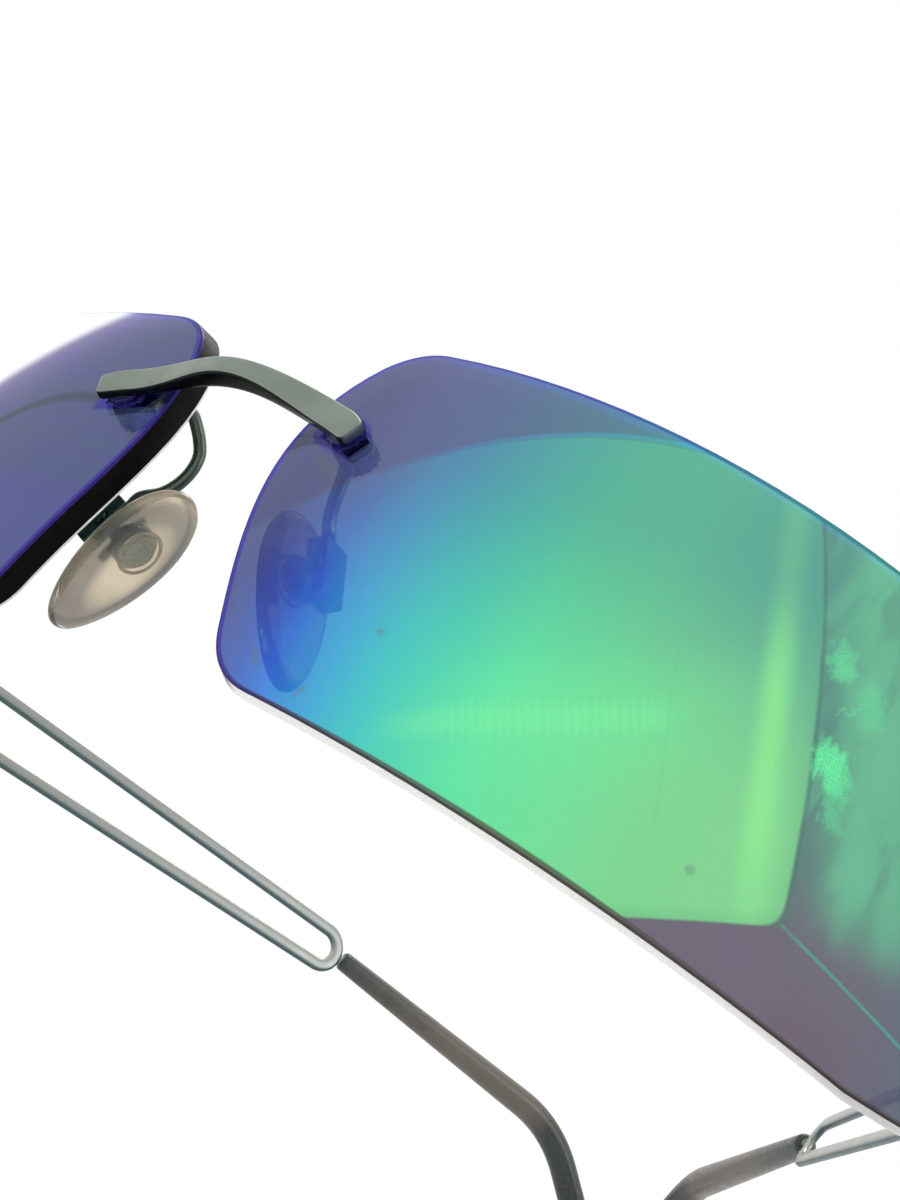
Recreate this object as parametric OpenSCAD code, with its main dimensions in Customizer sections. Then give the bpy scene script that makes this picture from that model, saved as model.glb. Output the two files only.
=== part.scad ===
/* [Lenses] */
// Width of a lens between its nose corners and its outer corners
lens_w = 58.7; // [56:0.5:62]
// Height of a lens along its nose side
lens_nose_h = 31.7; // [28:0.5:36]
// Height of a lens along its outer side
lens_outer_h = 29.4; // [26:0.5:33]
// How far the outer side sits below the nose side
lens_droop = 9.3; // [6:0.5:11]
// Radius of the front face of the curved lens
lens_r = 66; // [62:1:80]
// Thickness of a lens
lens_t = 2.1; // [1.8:0.1:2.6]
// Angle by which each lens turns back round the face
lens_wrap = 19.5; // [16:0.5:22]
// Swell of the nose side of a lens
nose_swell = 4.8; // [3:0.2:6]
// Swell of the top of a lens
top_swell = 1.9; // [1:0.1:3]
// Swell of the outer side of a lens
outer_swell = 2; // [1:0.2:3]
// Distance from the middle of the nose to the optical centre of a lens
lens_reach = 37.35; // [36.5:0.5:40]
// Depth of the short flat on the lowest edge that the lens stands on
foot_flat = 0.12; // [0.06:0.02:0.2]

/* [Bridge] */
// How far the bridge reaches past each of its posts
bridge_past = 1.7; // [1.4:0.05:2]
// Height of the flattened ends of the bridge
bridge_end_h = 2.5; // [2:0.1:3]
// Thickness of the flattened ends of the bridge
bridge_end_t = 1.05; // [0.9:0.05:1.3]
// Height of the bridge in the middle
bridge_mid_h = 1.95; // [1.6:0.05:2.4]
// Depth of the bridge in the middle
bridge_mid_t = 1.9; // [1.5:0.1:2.4]
// How far the middle of the bridge rises above its ends
bridge_rise = 2.2; // [1:0.1:3]
// How far the middle of the bridge stands in front of its ends
bridge_bow = 1.5; // [1:0.1:2.2]

/* [Fasteners] */
// Radius of the posts that go through the lenses
post_r = 0.6; // [0.5:0.05:0.75]
// Wall of the clear bush round a post in its lens hole
bush_wall = 0.35; // [0.25:0.05:0.45]
// Thickness of the toothed washer in front of a lens
washer_t = 0.4; // [0.3:0.05:0.5]
// Radius of the toothed washer and of the nut
nut_r = 1.55; // [1.4:0.05:1.8]
// Height of the nut behind a lens
nut_h = 1.3; // [1:0.1:1.6]
// Number of teeth round a washer and a nut
nut_teeth = 14; // [10:1:18]
// Depth of the teeth round a washer and a nut
tooth_depth = 0.2; // [0.1:0.02:0.25]

/* [Nose pads] */
// Length of a nose pad
pad_l = 15.2; // [13:0.2:16]
// Width of a nose pad
pad_w = 8.2; // [7:0.1:8.6]
// Thickness of a nose pad
pad_t = 2.1; // [1.8:0.1:2.4]
// Angle by which the foot of a nose pad stands out from the nose
pad_splay = 24.5; // [20:0.5:28]
// How far a nose pad's centre stands in towards the nose from the bridge post
pad_inset = 2.37; // [2:0.1:3]
// Radius of the core in a nose pad
core_r = 1.9; // [1.6:0.1:2.2]
// Thickness of the wire of a pad arm
arm_d = 1.1; // [0.9:0.05:1.3]
// Length of the metal box that holds a nose pad
box_l = 4.7; // [4.2:0.1:5.2]
// Width of the metal box that holds a nose pad
box_w = 3.2; // [2.8:0.1:3.6]
// Depth of the metal box that holds a nose pad
box_d = 1.9; // [1.6:0.1:2.2]
// How far the arch of a pad arm reaches behind the lens front
arm_back = 8.1; // [7.6:0.1:8.5]
// How far the arch of a pad arm reaches from its post towards the nose
arm_in = 4.1; // [3.8:0.1:4.3]
// How far the arch of a pad arm rises above its post
arm_rise = 2.85; // [2.4:0.1:3.2]

/* [Hinges] */
// Radius of the knuckles of a hinge
knuckle_r = 1.6; // [1.45:0.05:1.75]
// Height of the knuckles of a hinge, all together
hinge_h = 7; // [6:0.2:7.6]
// Number of knuckles of a hinge, front and temple together
knuckle_count = 5; // [3:2:7]
// Gap between two knuckles
knuckle_gap = 0.08; // [0.05:0.01:0.12]
// Radius of the hinge screw
screw_r = 0.6; // [0.5:0.05:0.7]
// Running clearance round the hinge screws and the pad screws
pin_clear = 0.04; // [0.02:0.01:0.08]
// How far a hinge pin sits outside the lens edge
hinge_out = 1.2; // [1:0.1:1.8]
// How far a hinge pin sits behind the lens edge
hinge_behind = 5.5; // [5:0.1:6.5]
// Thickness of the end piece and of the hinge plate
lug_t = 1.5; // [1.3:0.1:1.7]
// Length of the hinge plate that holds the temple wires
plate_l = 8.5; // [7.5:0.5:10]

/* [Temples] */
// Distance between the middles of the two temple ends as the temples are held, part folded
tips_apart = 8.12; // [7:0.5:30]
// Distance from the hinge pin to the end of the wire loop
loop_l = 75; // [70:1:77]
// Distance between the two wires at the hinge plate
loop_front_w = 7.4; // [6.6:0.2:7.8]
// Distance between the two wires at the bend
loop_back_w = 4.7; // [4:0.1:5.2]
// Height of the flat wire of the loop
wire_h = 1.6; // [1.3:0.1:1.8]
// Thickness of the flat wire of the loop
wire_t = 0.85; // [0.7:0.05:1]
// Angle by which the loop leans outwards at its top
loop_cant = 12; // [6:1:13]
// Height of the temple line below the lens centres
temple_low = 4.3; // [3.5:0.1:5]
// Thickness of the temple tip where it starts
tip_front_d = 2.4; // [2.2:0.1:2.8]
// Thickness of the temple tip at its end
tip_back_d = 3.4; // [3:0.1:3.6]
// Length of the straight part of the temple tip
tip_straight = 31; // [28:1:33]
// Angle by which the temple tip bends down behind the ear
tip_bend = 38; // [34:1:42]
// Radius of the bend of the temple tip
tip_bend_r = 16; // [14:1:18]
// Radius of the metal rod in the temple tip
rod_r = 0.6; // [0.5:0.05:0.7]
// Clearance between pieces that sit in one another
seat_gap = 0.02; // [0.01:0.01:0.04]

/* [Hidden] */
$fn = 64;
// overrun of every cut
over = 1;

// colours
lens_col = [0.32, 0.72, 0.66, 0.6];
metal_col = [0.40, 0.46, 0.45];
dark_col = [0.20, 0.27, 0.27];
pad_col = [0.86, 0.80, 0.70];
tip_col = [0.15, 0.20, 0.19];
clear_col = [0.80, 0.80, 0.82];

// lens outline, across the optical axis: corners, then a swell and a rounding for each
nose_share = 0.419;
nose_mid_share = 0.436;
nose_lean_share = 0.44;
lens_nose_x = -lens_w * nose_share;
lens_outer_x = lens_w + lens_nose_x;
lens_nose_z = lens_droop * nose_mid_share;
lens_outer_z = lens_nose_z - lens_droop;
nose_round = 2.6;
foot_round = 3.5;
top_round = 6;
heel_round = 9;
side_steps = 16;
corner_steps = 8;
lens_corners = [[lens_nose_x, lens_nose_z + lens_nose_h / 2],
                [lens_outer_x, lens_outer_z + lens_outer_h / 2],
                [lens_outer_x, lens_outer_z - lens_outer_h / 2],
                [lens_nose_x, lens_nose_z - lens_nose_h / 2]];
side_swell = [top_swell, outer_swell, 0, nose_swell];
side_lean_shares = [0, 0, 0, nose_lean_share];
corner_round = [nose_round, top_round, heel_round, foot_round];

function side_point(i, t) =
    let (a = lens_corners[i], b = lens_corners[(i + 1) % 4], d = b - a, n = [-d[1], d[0]] / norm(d))
    a + d * t + n * side_swell[i] * 4 * t * (1 - t) * (1 + side_lean_shares[i] * (2 * t - 1));
function side_length(i) = norm(lens_corners[(i + 1) % 4] - lens_corners[i]);
function side_from(i) = corner_round[i] / side_length(i);
function side_to(i) = 1 - corner_round[(i + 1) % 4] / side_length(i);
function bend(a, c, b, t) = a * (1 - t) * (1 - t) + c * 2 * t * (1 - t) + b * t * t;
function side_run(i) = [for (k = [0:side_steps])
    side_point(i, side_from(i) + (side_to(i) - side_from(i)) * k / side_steps)];
function corner_run(i) = let (j = (i + 1) % 4, a = side_point(i, side_to(i)), b = side_point(j, side_from(j)))
    [for (k = [1:corner_steps - 1]) bend(a, lens_corners[j], b, k / corner_steps)];
lens_outline = [for (i = [0:3]) each concat(side_run(i), corner_run(i))];
lens_low = min([for (p = lens_outline) p[1]]) + foot_flat;
inner_r = lens_r - lens_t;

// middle of the lens ball seen from above, and a point at an angle round it
ball_x = lens_reach - lens_r * sin(lens_wrap);
ball_y = lens_r * cos(lens_wrap);
function round_ball(r, a) = [ball_x + r * sin(a + lens_wrap), ball_y - r * cos(a + lens_wrap)];

// places of the posts, across the lens
bridge_post_in = 0.7;
bridge_post_x = lens_nose_x - bridge_post_in;
bridge_post_z = 9.6;
hinge_post_inset = 6.2;
hinge_post_x = lens_outer_x - hinge_post_inset;
nut_space = 0.3;
// the posts come closer together behind the lens, so the nuts set the distance
hinge_post_gap = (2 * nut_r + nut_space) * lens_r / (inner_r - nut_h);
bush_r = post_r + bush_wall;
lens_hole_r = bush_r + seat_gap;
// a flat ring of this radius touches the hollow back of the lens at its rim
function rim_seat(r) = lens_t + inner_r - sqrt(inner_r * inner_r - r * r) + seat_gap;
nut_y = rim_seat(nut_r);

// post of the bridge: its place on the lens front and its directions
post_deep = sqrt(lens_r * lens_r - bridge_post_x * bridge_post_x - bridge_post_z * bridge_post_z);
post_yaw = lens_wrap + atan2(bridge_post_x, post_deep);
post_lean = asin(bridge_post_z / lens_r);
post_at = concat([lens_reach, 0] + bridge_post_x * [cos(lens_wrap), sin(lens_wrap)]
                 + (lens_r - post_deep) * [-sin(lens_wrap), cos(lens_wrap)], [bridge_post_z]);
post_over = [cos(post_yaw), sin(post_yaw), 0];
post_way = [-sin(post_yaw) * cos(post_lean), cos(post_yaw) * cos(post_lean), -sin(post_lean)];
function by_post(v) = post_at + v[0] * post_over + v[1] * post_way + v[2] * cross(post_over, post_way);

// bridge bar
bridge_end_at = by_post([0, -washer_t - seat_gap - bridge_end_t / 2, 0]);
bridge_power = 2.1;
bridge_steps = 28;
bridge_sides = 20;
bridge_square = 0.5;
bridge_tip_shares = [1, 0.985, 0.95];
bridge_tip_size_shares = [0.8, 0.94, 1];
bridge_w = 2 * (bridge_end_at[0] + bridge_past);
bridge_post_share = 2 * bridge_end_at[0] / bridge_w;
// from here out the bar runs flat along the washer
bridge_flat_share = 2 * (bridge_end_at[0] - nut_r) / bridge_w;
// middle of the bar at a share of its half length, with its whole bow
function bridge_spot(q) =
    let (rise = bridge_rise * (pow(bridge_post_share, bridge_power) - pow(q, bridge_power)))
    [q * bridge_w / 2,
     bridge_end_at[1] + (max(q, bridge_flat_share) * bridge_w / 2 - bridge_end_at[0]) * tan(post_yaw)
         + rise * tan(post_lean) / cos(post_yaw) - bridge_bow,
     bridge_end_at[2] + rise];

// frame of a nose pad: x away from the nose, y back, z up
pad_reach = post_at[0] - pad_inset;
pad_back = 4.88;
pad_drop = 1.47;
pad_pitch = 5.3;
pad_turn = 4.4;
pad_egg_share = 0.16;
pad_steps = 36;
// places through the thickness and how full the outline is there
pad_depth_shares = [-0.5, -0.47, -0.36, -0.12, 0.16, 0.4, 0.5];
pad_full_shares = [0.36, 0.6, 0.86, 0.985, 1, 0.94, 0.84];

// box, screw and core that carry a nose pad
box_out = 3.35;
box_up = 1.1;
box_fore = 0.8;
box_sides = 20;
box_square = 0.3;
box_wall = 0.5;
box_floor = 0.25;
cave_share = 0.62;
tongue_r = 0.65;
tongue_flat_share = 0.8;
tongue_gap = 0.1;
tongue_end_gap = 0.05;
// the screw stands where the tongue's round end clears the floor of the box
pad_screw_x = box_d / 2 - box_floor - tongue_end_gap - tongue_r;
tongue_w = box_w - 2 * box_wall - 2 * tongue_gap;
tongue_h = 2 * tongue_r * tongue_flat_share;
pad_screw_r = 0.4;
pad_screw_head_r = 0.7;
pad_screw_head_t = 0.3;
core_up = 1.5;
core_fore = 0.4;
core_t = 0.9;

// pad arm: arch from behind the lens, as shares of its size, then down to the box
arm_start_gap = 0.2;
arm_start = nut_r + arm_d / 2 + arm_start_gap;
arm_start_a = 131;
eye_t = 0.5;
tab_inset = 0.03;
tab_reach = arm_start + arm_d / 2;
eye_y = rim_seat(tab_reach);
arm_in_shares = [0.6, 0.74, 0.84, 0.93, 0.99, 0.98, 0.88, 0.68];
arm_back_shares = [0.43, 0.52, 0.63, 0.75, 0.85, 0.91, 0.94, 0.94];
arm_rise_shares = [0.97, 1, 0.84, 0.6, 0.3, -0.16, -0.68, -1.18];
arm_end_lead = 1.1;
arm_steps = 36;
arm_sides = 12;
box_top_up = box_up + box_l / 2 + seat_gap;

// hinge pin, and the butting ends of end piece and hinge plate
edge_x = lens_outer_x + outer_swell;
edge_a = asin(edge_x / lens_r);
hinge_x = round_ball(lens_r, edge_a)[0] + hinge_out;
hinge_y = round_ball(lens_r, edge_a)[1] + hinge_behind;
wall_out = 1.1;
wire_line = wall_out + lug_t / 2;
butt_gap = 0.1;
turn_gap = 0.08;
web_bite = 0.2;
knuckle_h = (hinge_h - (knuckle_count - 1) * knuckle_gap) / knuckle_count;
function knuckle_z(i) = -hinge_h / 2 + i * (knuckle_h + knuckle_gap);
screw_head_r = 1.15;
screw_head_h = 0.55;
screw_slot_w = 0.3;
screw_slot_d = 0.25;

// end piece: a plate in front of the washers that curves back to the hinge
lug_lead = 2.8;
lug_past = 0.8;
lug_round = 2.2;
lug_waist = 0.5;
lug_mid_r = norm([lens_r + washer_t, nut_r]) + seat_gap + lug_t / 2;
lug_lean = asin(temple_low / lug_mid_r);
lug_line_r = lug_mid_r * cos(lug_lean);
lug_a0 = asin((hinge_post_x - lug_lead) / lens_r);
lug_a1 = asin((edge_x + lug_past) / lens_r);
lug_round_a = lug_round / lug_line_r * 180 / PI;
lug_tip_steps = 5;
lug_plate_steps = 7;
lug_bend_steps = 8;
lug_bend_share = 0.55;
lug_end_h = hinge_post_gap + 2 * nut_r;
lug_sides = 20;
lug_square = 0.3;

// hinge plate
plate_rim = 0.9;
plate_back_h = loop_front_w + wire_h + 2 * plate_rim;
plate_steps = 10;
plate_notch_r = 2.5;
socket_l = 3;

// wire loop
loop_r = loop_back_w / 2;
loop_centre = loop_l - loop_r - wire_h / 2;
loop_run = loop_centre - plate_l;
loop_taper = acos(loop_r / norm([loop_run, loop_front_w / 2])) - atan(2 * loop_run / loop_front_w);
wire_sides = 16;
loop_steps = 20;
wire_square = 0.45;

// temple tip: straight, bend and drop, as length and height from the end of the loop
tip_r = tip_back_d / 2;
tip_slope = 4.9;
tip_in = 4.4;
tip_lead = 0.2;
tip_nose_round = 0.5;
tip_round_steps = 3;
tip_turn_steps = 10;
tip_end_steps = 7;
tip_end_share = 0.3;
tip_sides = 24;
tip_fall = tip_slope + tip_bend;
tip_turn_end = tip_straight + tip_bend_r * tip_bend * PI / 180;
function turned(v, a) = [v[0] * cos(a) - v[1] * sin(a), v[0] * sin(a) + v[1] * cos(a)];
tip_p1 = turned([tip_straight, 0], -tip_slope);
tip_p2 = tip_p1 + turned([tip_bend_r * sin(tip_bend), -tip_bend_r * (1 - cos(tip_bend))], -tip_slope);
// the end of the tip stands on the same level as the lenses
tip_last = (tip_p2[1] - lens_low - temple_low - tip_r) / sin(tip_fall);
tip_p3 = tip_p2 + turned([tip_last, 0], -tip_fall);
tip_end_l = loop_l + tip_lead + tip_p3[0] * cos(tip_in);
tip_end_out = wire_line - tip_p3[0] * sin(tip_in);
// angle from fully open at which the two tips are that far apart
fold_in = asin((hinge_x - tips_apart / 2) / norm([tip_end_l, tip_end_out])) + atan2(tip_end_out, tip_end_l);

// the whole part stands over the middle of its own outline
bridge_front_y = bridge_spot(0)[1] - bridge_mid_t / 2;
tip_rear_y = hinge_y + tip_end_l * cos(fold_in) + tip_end_out * sin(fold_in) + tip_r;
row_up = -lens_low;
row_back = -(bridge_front_y + tip_rear_y) / 2;

// placing
module in_row() translate([0, row_back, row_up]) children();
module on_side(s) mirror([s < 0 ? 1 : 0, 0, 0]) children();
module on_both() for (s = [1, -1]) on_side(s) children();
module in_lens() translate([lens_reach, 0, 0]) rotate([0, 0, lens_wrap]) children();
// on the front face of a lens: x across, y straight in, z up
module at_lens(x, z) {
    deep = sqrt(lens_r * lens_r - x * x - z * z);
    translate([x, lens_r - deep, z]) rotate([0, 0, atan2(x, deep)]) rotate([-asin(z / lens_r), 0, 0])
        children();
}
module at_bridge_post() in_lens() at_lens(bridge_post_x, bridge_post_z) children();
module at_hinge_posts() for (k = [-1, 1])
    in_lens() at_lens(hinge_post_x, k * hinge_post_gap / 2 - temple_low) children();
module in_pad() translate([pad_reach, pad_back, -pad_drop]) rotate([pad_pitch, -pad_splay, -pad_turn])
    children();
module in_core() in_pad() translate([0, -core_fore, core_up]) children();
module in_box() in_pad() translate([box_out, -box_fore, box_up]) children();
module at_pad_screw() in_box() translate([pad_screw_x, 0, 0]) children();
module at_hinge() translate([hinge_x, hinge_y, -temple_low]) children();
// a temple: x out, y along it, z up, from the hinge pin
module in_temple() at_hinge() rotate([0, 0, fold_in]) children();
module in_loop() in_temple() translate([wire_line, 0, 0]) rotate([0, loop_cant, 0]) children();
module in_tip() in_temple() translate([wire_line, loop_l + tip_lead, 0]) rotate([-tip_slope, 0, tip_in])
    children();
// turns x, y, z into y, z, x
module on_edge() rotate([90, 0, 90]) children();

// a solid through rings of points, each ring turning left about the way ahead
module skin(rings) {
    n = len(rings[0]);
    m = len(rings);
    points = [for (r = rings) each r];
    walls = [for (i = [0:m - 2], k = [0:n - 1]) let (j = (k + 1) % n)
        each [[i * n + k, (i + 1) * n + j, i * n + j], [i * n + k, (i + 1) * n + k, (i + 1) * n + j]]];
    first = [[for (k = [0:n - 1]) k]];
    last = [[for (k = [n - 1:-1:0]) (m - 1) * n + k]];
    polyhedron(points, concat(walls, first, last));
}
// an oblong with soft corners, w wide and h high
function oblong(w, h, n, square) = [for (k = [0:n - 1]) let (c = cos(k * 360 / n), s = sin(k * 360 / n))
    [w / 2 * sign(c) * pow(abs(c), square), h / 2 * sign(s) * pow(abs(s), square)]];
function unit(v) = v / norm(v);
// a smooth curve through the points p, for t from 0 to the last index
function on_curve(p, t) =
    let (n = len(p), i = min(floor(t), n - 2), f = t - i,
         a = p[max(i - 1, 0)], b = p[i], c = p[i + 1], d = p[min(i + 2, n - 1)])
    (2 * b + (c - a) * f + (2 * a - 5 * b + 4 * c - d) * f * f + (3 * b - a - 3 * c + d) * f * f * f) / 2;
curve_step = 0.05;
function curve_way(p, t) =
    unit(on_curve(p, min(t + curve_step, len(p) - 1)) - on_curve(p, max(t - curve_step, 0)));
module wire(p, r, steps, sides) {
    skin([for (i = [0:steps])
        let (t = i * (len(p) - 1) / steps, c = on_curve(p, t), d = curve_way(p, t),
             u = unit(cross(d, [1, 0, 0])), v = cross(d, u))
        [for (k = [0:sides - 1]) c + r * (u * cos(k * 360 / sides) + v * sin(k * 360 / sides))]]);
}
module rod_y(r, y0, y1) translate([0, y0, 0]) rotate([-90, 0, 0]) cylinder(r = r, h = y1 - y0);

// Lens: a piece of a thick ball, cut to the outline and drilled for three posts
module lens_blank() {
    intersection() {
        translate([0, lens_r, 0]) difference() {
            sphere(r = lens_r, $fn = 200);
            sphere(r = inner_r, $fn = 200);
        }
        translate([0, lens_r / 2, 0]) rotate([90, 0, 0]) linear_extrude(lens_r) polygon(lens_outline);
        translate([-lens_r, -lens_r, lens_low]) cube([2 * lens_r, 2 * lens_r, lens_r]);
    }
}
module lens() {
    color(lens_col) in_row() difference() {
        in_lens() lens_blank();
        at_bridge_post() rod_y(lens_hole_r, -over, lens_t + over);
        at_hinge_posts() rod_y(lens_hole_r, -over, lens_t + over);
    }
}

// Bridge: an arched bar with flat ends that lie along the lenses, and a post at each end
function bridge_ring(t, size_share) =
    let (q = abs(t), b = (1 - cos(180 * min(q / bridge_flat_share, 1))) / 2,
         h = (bridge_mid_h + (bridge_end_h - bridge_mid_h) * b) * size_share,
         d = (bridge_mid_t + (bridge_end_t - bridge_mid_t) * b) * size_share,
         yaw = post_yaw * b,
         over = [cos(yaw), sin(yaw), 0],
         way = [-sin(yaw) * cos(post_lean), cos(yaw) * cos(post_lean), -sin(post_lean)],
         roll = atan(2 * bridge_rise * bridge_power * pow(q, bridge_power - 1) / bridge_w),
         up = over * sin(roll) + cross(over, way) * cos(roll))
    [for (p = oblong(d, h, bridge_sides, bridge_square))
        let (v = bridge_spot(q) + [0, bridge_bow * b, 0] + p[0] * way + p[1] * up)
        [sign(t) * v[0], v[1], v[2]]];
module bridge() {
    color(metal_col) in_row() {
        inmost = len(bridge_tip_shares) - 1;
        inner = bridge_tip_shares[inmost];
        skin(concat(
            [for (k = [0:inmost]) bridge_ring(-bridge_tip_shares[k], bridge_tip_size_shares[k])],
            [for (k = [1:bridge_steps - 1]) bridge_ring(inner * (2 * k / bridge_steps - 1), 1)],
            [for (k = [inmost:-1:0]) bridge_ring(bridge_tip_shares[k], bridge_tip_size_shares[k])]));
        on_both() at_bridge_post() rod_y(post_r, -washer_t - bridge_end_t / 2, eye_y + eye_t + nut_h);
    }
}

// Fasteners: clear bush in the lens hole, toothed washer in front, toothed nut behind
module toothed(h) {
    linear_extrude(h) polygon([for (k = [0:2 * nut_teeth - 1])
        let (a = k * 180 / nut_teeth) (nut_r - (k % 2) * tooth_depth) * [cos(a), sin(a)]]);
}
module post_hole(y0, y1) rod_y(post_r + seat_gap, y0, y1);
module lens_bush() difference() {
    rod_y(bush_r, 0, lens_t);
    post_hole(-over, lens_t + over);
}
module toothed_ring(y0, y1) difference() {
    translate([0, y0, 0]) rotate([-90, 0, 0]) toothed(y1 - y0);
    post_hole(y0 - over, y1 + over);
}
module lens_bushes() color(clear_col) in_row() on_both() {
    at_bridge_post() lens_bush();
    at_hinge_posts() lens_bush();
}
module lens_washers() color(dark_col) in_row() on_both() {
    at_bridge_post() toothed_ring(-washer_t, 0);
    at_hinge_posts() toothed_ring(-washer_t, 0);
}
module bridge_nuts() color(dark_col) in_row() on_both()
    at_bridge_post() toothed_ring(eye_y + eye_t, eye_y + eye_t + nut_h);
module hinge_nuts() color(dark_col) in_row() on_both()
    at_hinge_posts() toothed_ring(nut_y, nut_y + nut_h);

// Pad arm: an eye held by the nut and a bent wire down to the box
function by_pad(v) =
    let (a = [v[0], v[1] * cos(pad_pitch) - v[2] * sin(pad_pitch),
              v[1] * sin(pad_pitch) + v[2] * cos(pad_pitch)],
         b = [a[0] * cos(pad_splay) - a[2] * sin(pad_splay), a[1],
              a[0] * sin(pad_splay) + a[2] * cos(pad_splay)])
    [pad_reach, pad_back, -pad_drop]
    + [b[0] * cos(pad_turn) + b[1] * sin(pad_turn), b[1] * cos(pad_turn) - b[0] * sin(pad_turn), b[2]];
arm_line = concat(
    [by_post([arm_start * cos(arm_start_a), eye_y + arm_d / 2, arm_start * sin(arm_start_a)])],
    [for (k = [0:len(arm_in_shares) - 1])
        by_post([-arm_in * arm_in_shares[k], arm_back * arm_back_shares[k], arm_rise * arm_rise_shares[k]])],
    [by_pad([box_out, -box_fore, box_top_up + arm_end_lead]), by_pad([box_out, -box_fore, box_top_up])]);
module pad_arm() {
    color(metal_col) in_row() {
        at_bridge_post() difference() {
            union() {
                rod_y(nut_r, eye_y, eye_y + eye_t);
                rotate([0, -arm_start_a, 0]) translate([0, eye_y + tab_inset, -arm_d / 2])
                    cube([tab_reach, eye_t - 2 * tab_inset, arm_d]);
            }
            post_hole(-over, eye_y + eye_t + over);
        }
        wire(arm_line, arm_d / 2, arm_steps, arm_sides);
    }
}

// Pad box: a metal box, open towards the pad, with a screw across it
module pad_box() {
    color(dark_col) in_row() in_box() difference() {
        translate([0, 0, -box_l / 2]) linear_extrude(box_l)
            polygon(oblong(box_d, box_w, box_sides, box_square));
        translate([-box_d / 2 - over, -box_w / 2 + box_wall, -box_l * cave_share / 2])
            cube([box_d + over - box_floor, box_w - 2 * box_wall, box_l * cave_share]);
        translate([pad_screw_x, 0, 0]) rod_y(pad_screw_r + pin_clear, -box_w / 2 - over, box_w / 2 + over);
    }
}
module pad_screws() color(dark_col) in_row() on_both() at_pad_screw() {
    rod_y(pad_screw_r, -box_w / 2, box_w / 2);
    rod_y(pad_screw_head_r, -box_w / 2 - pad_screw_head_t, -box_w / 2);
}

// Pad core: a metal disc set in the pad, with a tongue that goes into the box
module rod_x(r, x0, x1) translate([x0, 0, 0]) rotate([0, 90, 0]) cylinder(r = r, h = x1 - x0);
module pad_core() {
    color(dark_col) in_row() difference() {
        union() {
            in_core() rod_x(core_r, pad_t / 2 - core_t, pad_t / 2);
            in_pad() translate([pad_t / 2 - core_t / 2, -box_fore - tongue_w / 2, box_up - tongue_h / 2])
                cube([box_out + pad_screw_x - pad_t / 2 + core_t / 2, tongue_w, tongue_h]);
            at_pad_screw() rod_y(tongue_r, -tongue_w / 2, tongue_w / 2);
        }
        at_pad_screw() rod_y(pad_screw_r + pin_clear, -tongue_w / 2 - over, tongue_w / 2 + over);
    }
}

// Nose pad: a soft egg-shaped cushion with a pocket for its core
function pad_ring(depth_share, full_share) = [for (k = [0:pad_steps - 1])
    let (c = cos(k * 360 / pad_steps), s = sin(k * 360 / pad_steps))
    [pad_t * depth_share, full_share * pad_w / 2 * s * (1 - pad_egg_share * c), -full_share * pad_l / 2 * c]];
module nose_pad() {
    color(pad_col) in_row() difference() {
        in_pad() skin([for (k = [0:len(pad_full_shares) - 1])
            pad_ring(pad_depth_shares[k], pad_full_shares[k])]);
        in_core() rod_x(core_r + seat_gap, pad_t / 2 - core_t - seat_gap, pad_t / 2 + over);
    }
}

// Hinge knuckles, as a loop over every second height from the given one
module knuckles(first, ahead) {
    for (i = [first:2:knuckle_count - 1]) translate([0, 0, knuckle_z(i)]) {
        cylinder(r = knuckle_r, h = knuckle_h);
        translate([0, ahead ? butt_gap / 2 : -knuckle_r, 0])
            cube([wall_out + web_bite, knuckle_r - (ahead ? butt_gap / 2 : butt_gap), knuckle_h]);
    }
}
module knuckle_rooms(first) {
    for (i = [first:2:knuckle_count - 1])
        translate([0, 0, knuckle_z(i) - knuckle_gap])
            cylinder(r = knuckle_r + turn_gap, h = knuckle_h + 2 * knuckle_gap);
}
module hinge_bore() translate([0, 0, -hinge_h / 2 - over])
    cylinder(r = screw_r + pin_clear, h = hinge_h + 2 * over);

// End piece: place, heading, half height and lean of each of its rings
lug_wall_x = hinge_x + wire_line;
lug_head = lens_wrap + lug_a1;
lug_from = round_ball(lug_line_r, lug_a1);
lug_corner = lug_from + (lug_wall_x - lug_from[0]) / cos(lug_head) * [cos(lug_head), sin(lug_head)];
lug_butt_y = hinge_y - butt_gap / 2;
lug_bend_end = [lug_wall_x, lug_corner[1] + (lug_butt_y - lug_corner[1]) * lug_bend_share];
function lug_half_h(u) = (lug_end_h + (hinge_h - lug_end_h) * u) / 2 - lug_waist * pow(sin(180 * u), 2);
function lug_ring(at, head, half, lean) =
    [for (p = oblong(lug_t, 2 * half, lug_sides, lug_square))
        let (out = -p[0] * cos(lean) + p[1] * sin(lean), up = p[0] * sin(lean) + p[1] * cos(lean))
        [at[0] + out * sin(head), at[1] - out * cos(head), up - temple_low]];
function lug_plate_ring(a, cut) = lug_ring(round_ball(lug_line_r, a), a + lens_wrap,
    lug_half_h((a - lug_a0) / (lug_a1 - lug_a0) / 2) - cut, lug_lean);
function lug_bend_ring(t) =
    let (way = (lug_corner - lug_from) * (1 - t) + (lug_bend_end - lug_corner) * t)
    lug_ring(bend(lug_from, lug_corner, lug_bend_end, t), atan2(way[1], way[0]),
             lug_half_h((1 + t) / 2), lug_lean * (1 - t));
lug_rings = concat(
    [for (k = [0:lug_tip_steps]) let (q = 90 * k / lug_tip_steps)
        lug_plate_ring(lug_a0 + lug_round_a * (1 - cos(q)), lug_round * (1 - sin(q)))],
    [for (k = [1:lug_plate_steps])
        lug_plate_ring(lug_a0 + lug_round_a + (lug_a1 - lug_a0 - lug_round_a) * k / lug_plate_steps, 0)],
    [for (k = [1:lug_bend_steps]) lug_bend_ring(k / lug_bend_steps)],
    [lug_ring([lug_wall_x, lug_butt_y], 90, hinge_h / 2, 0)]);
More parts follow.
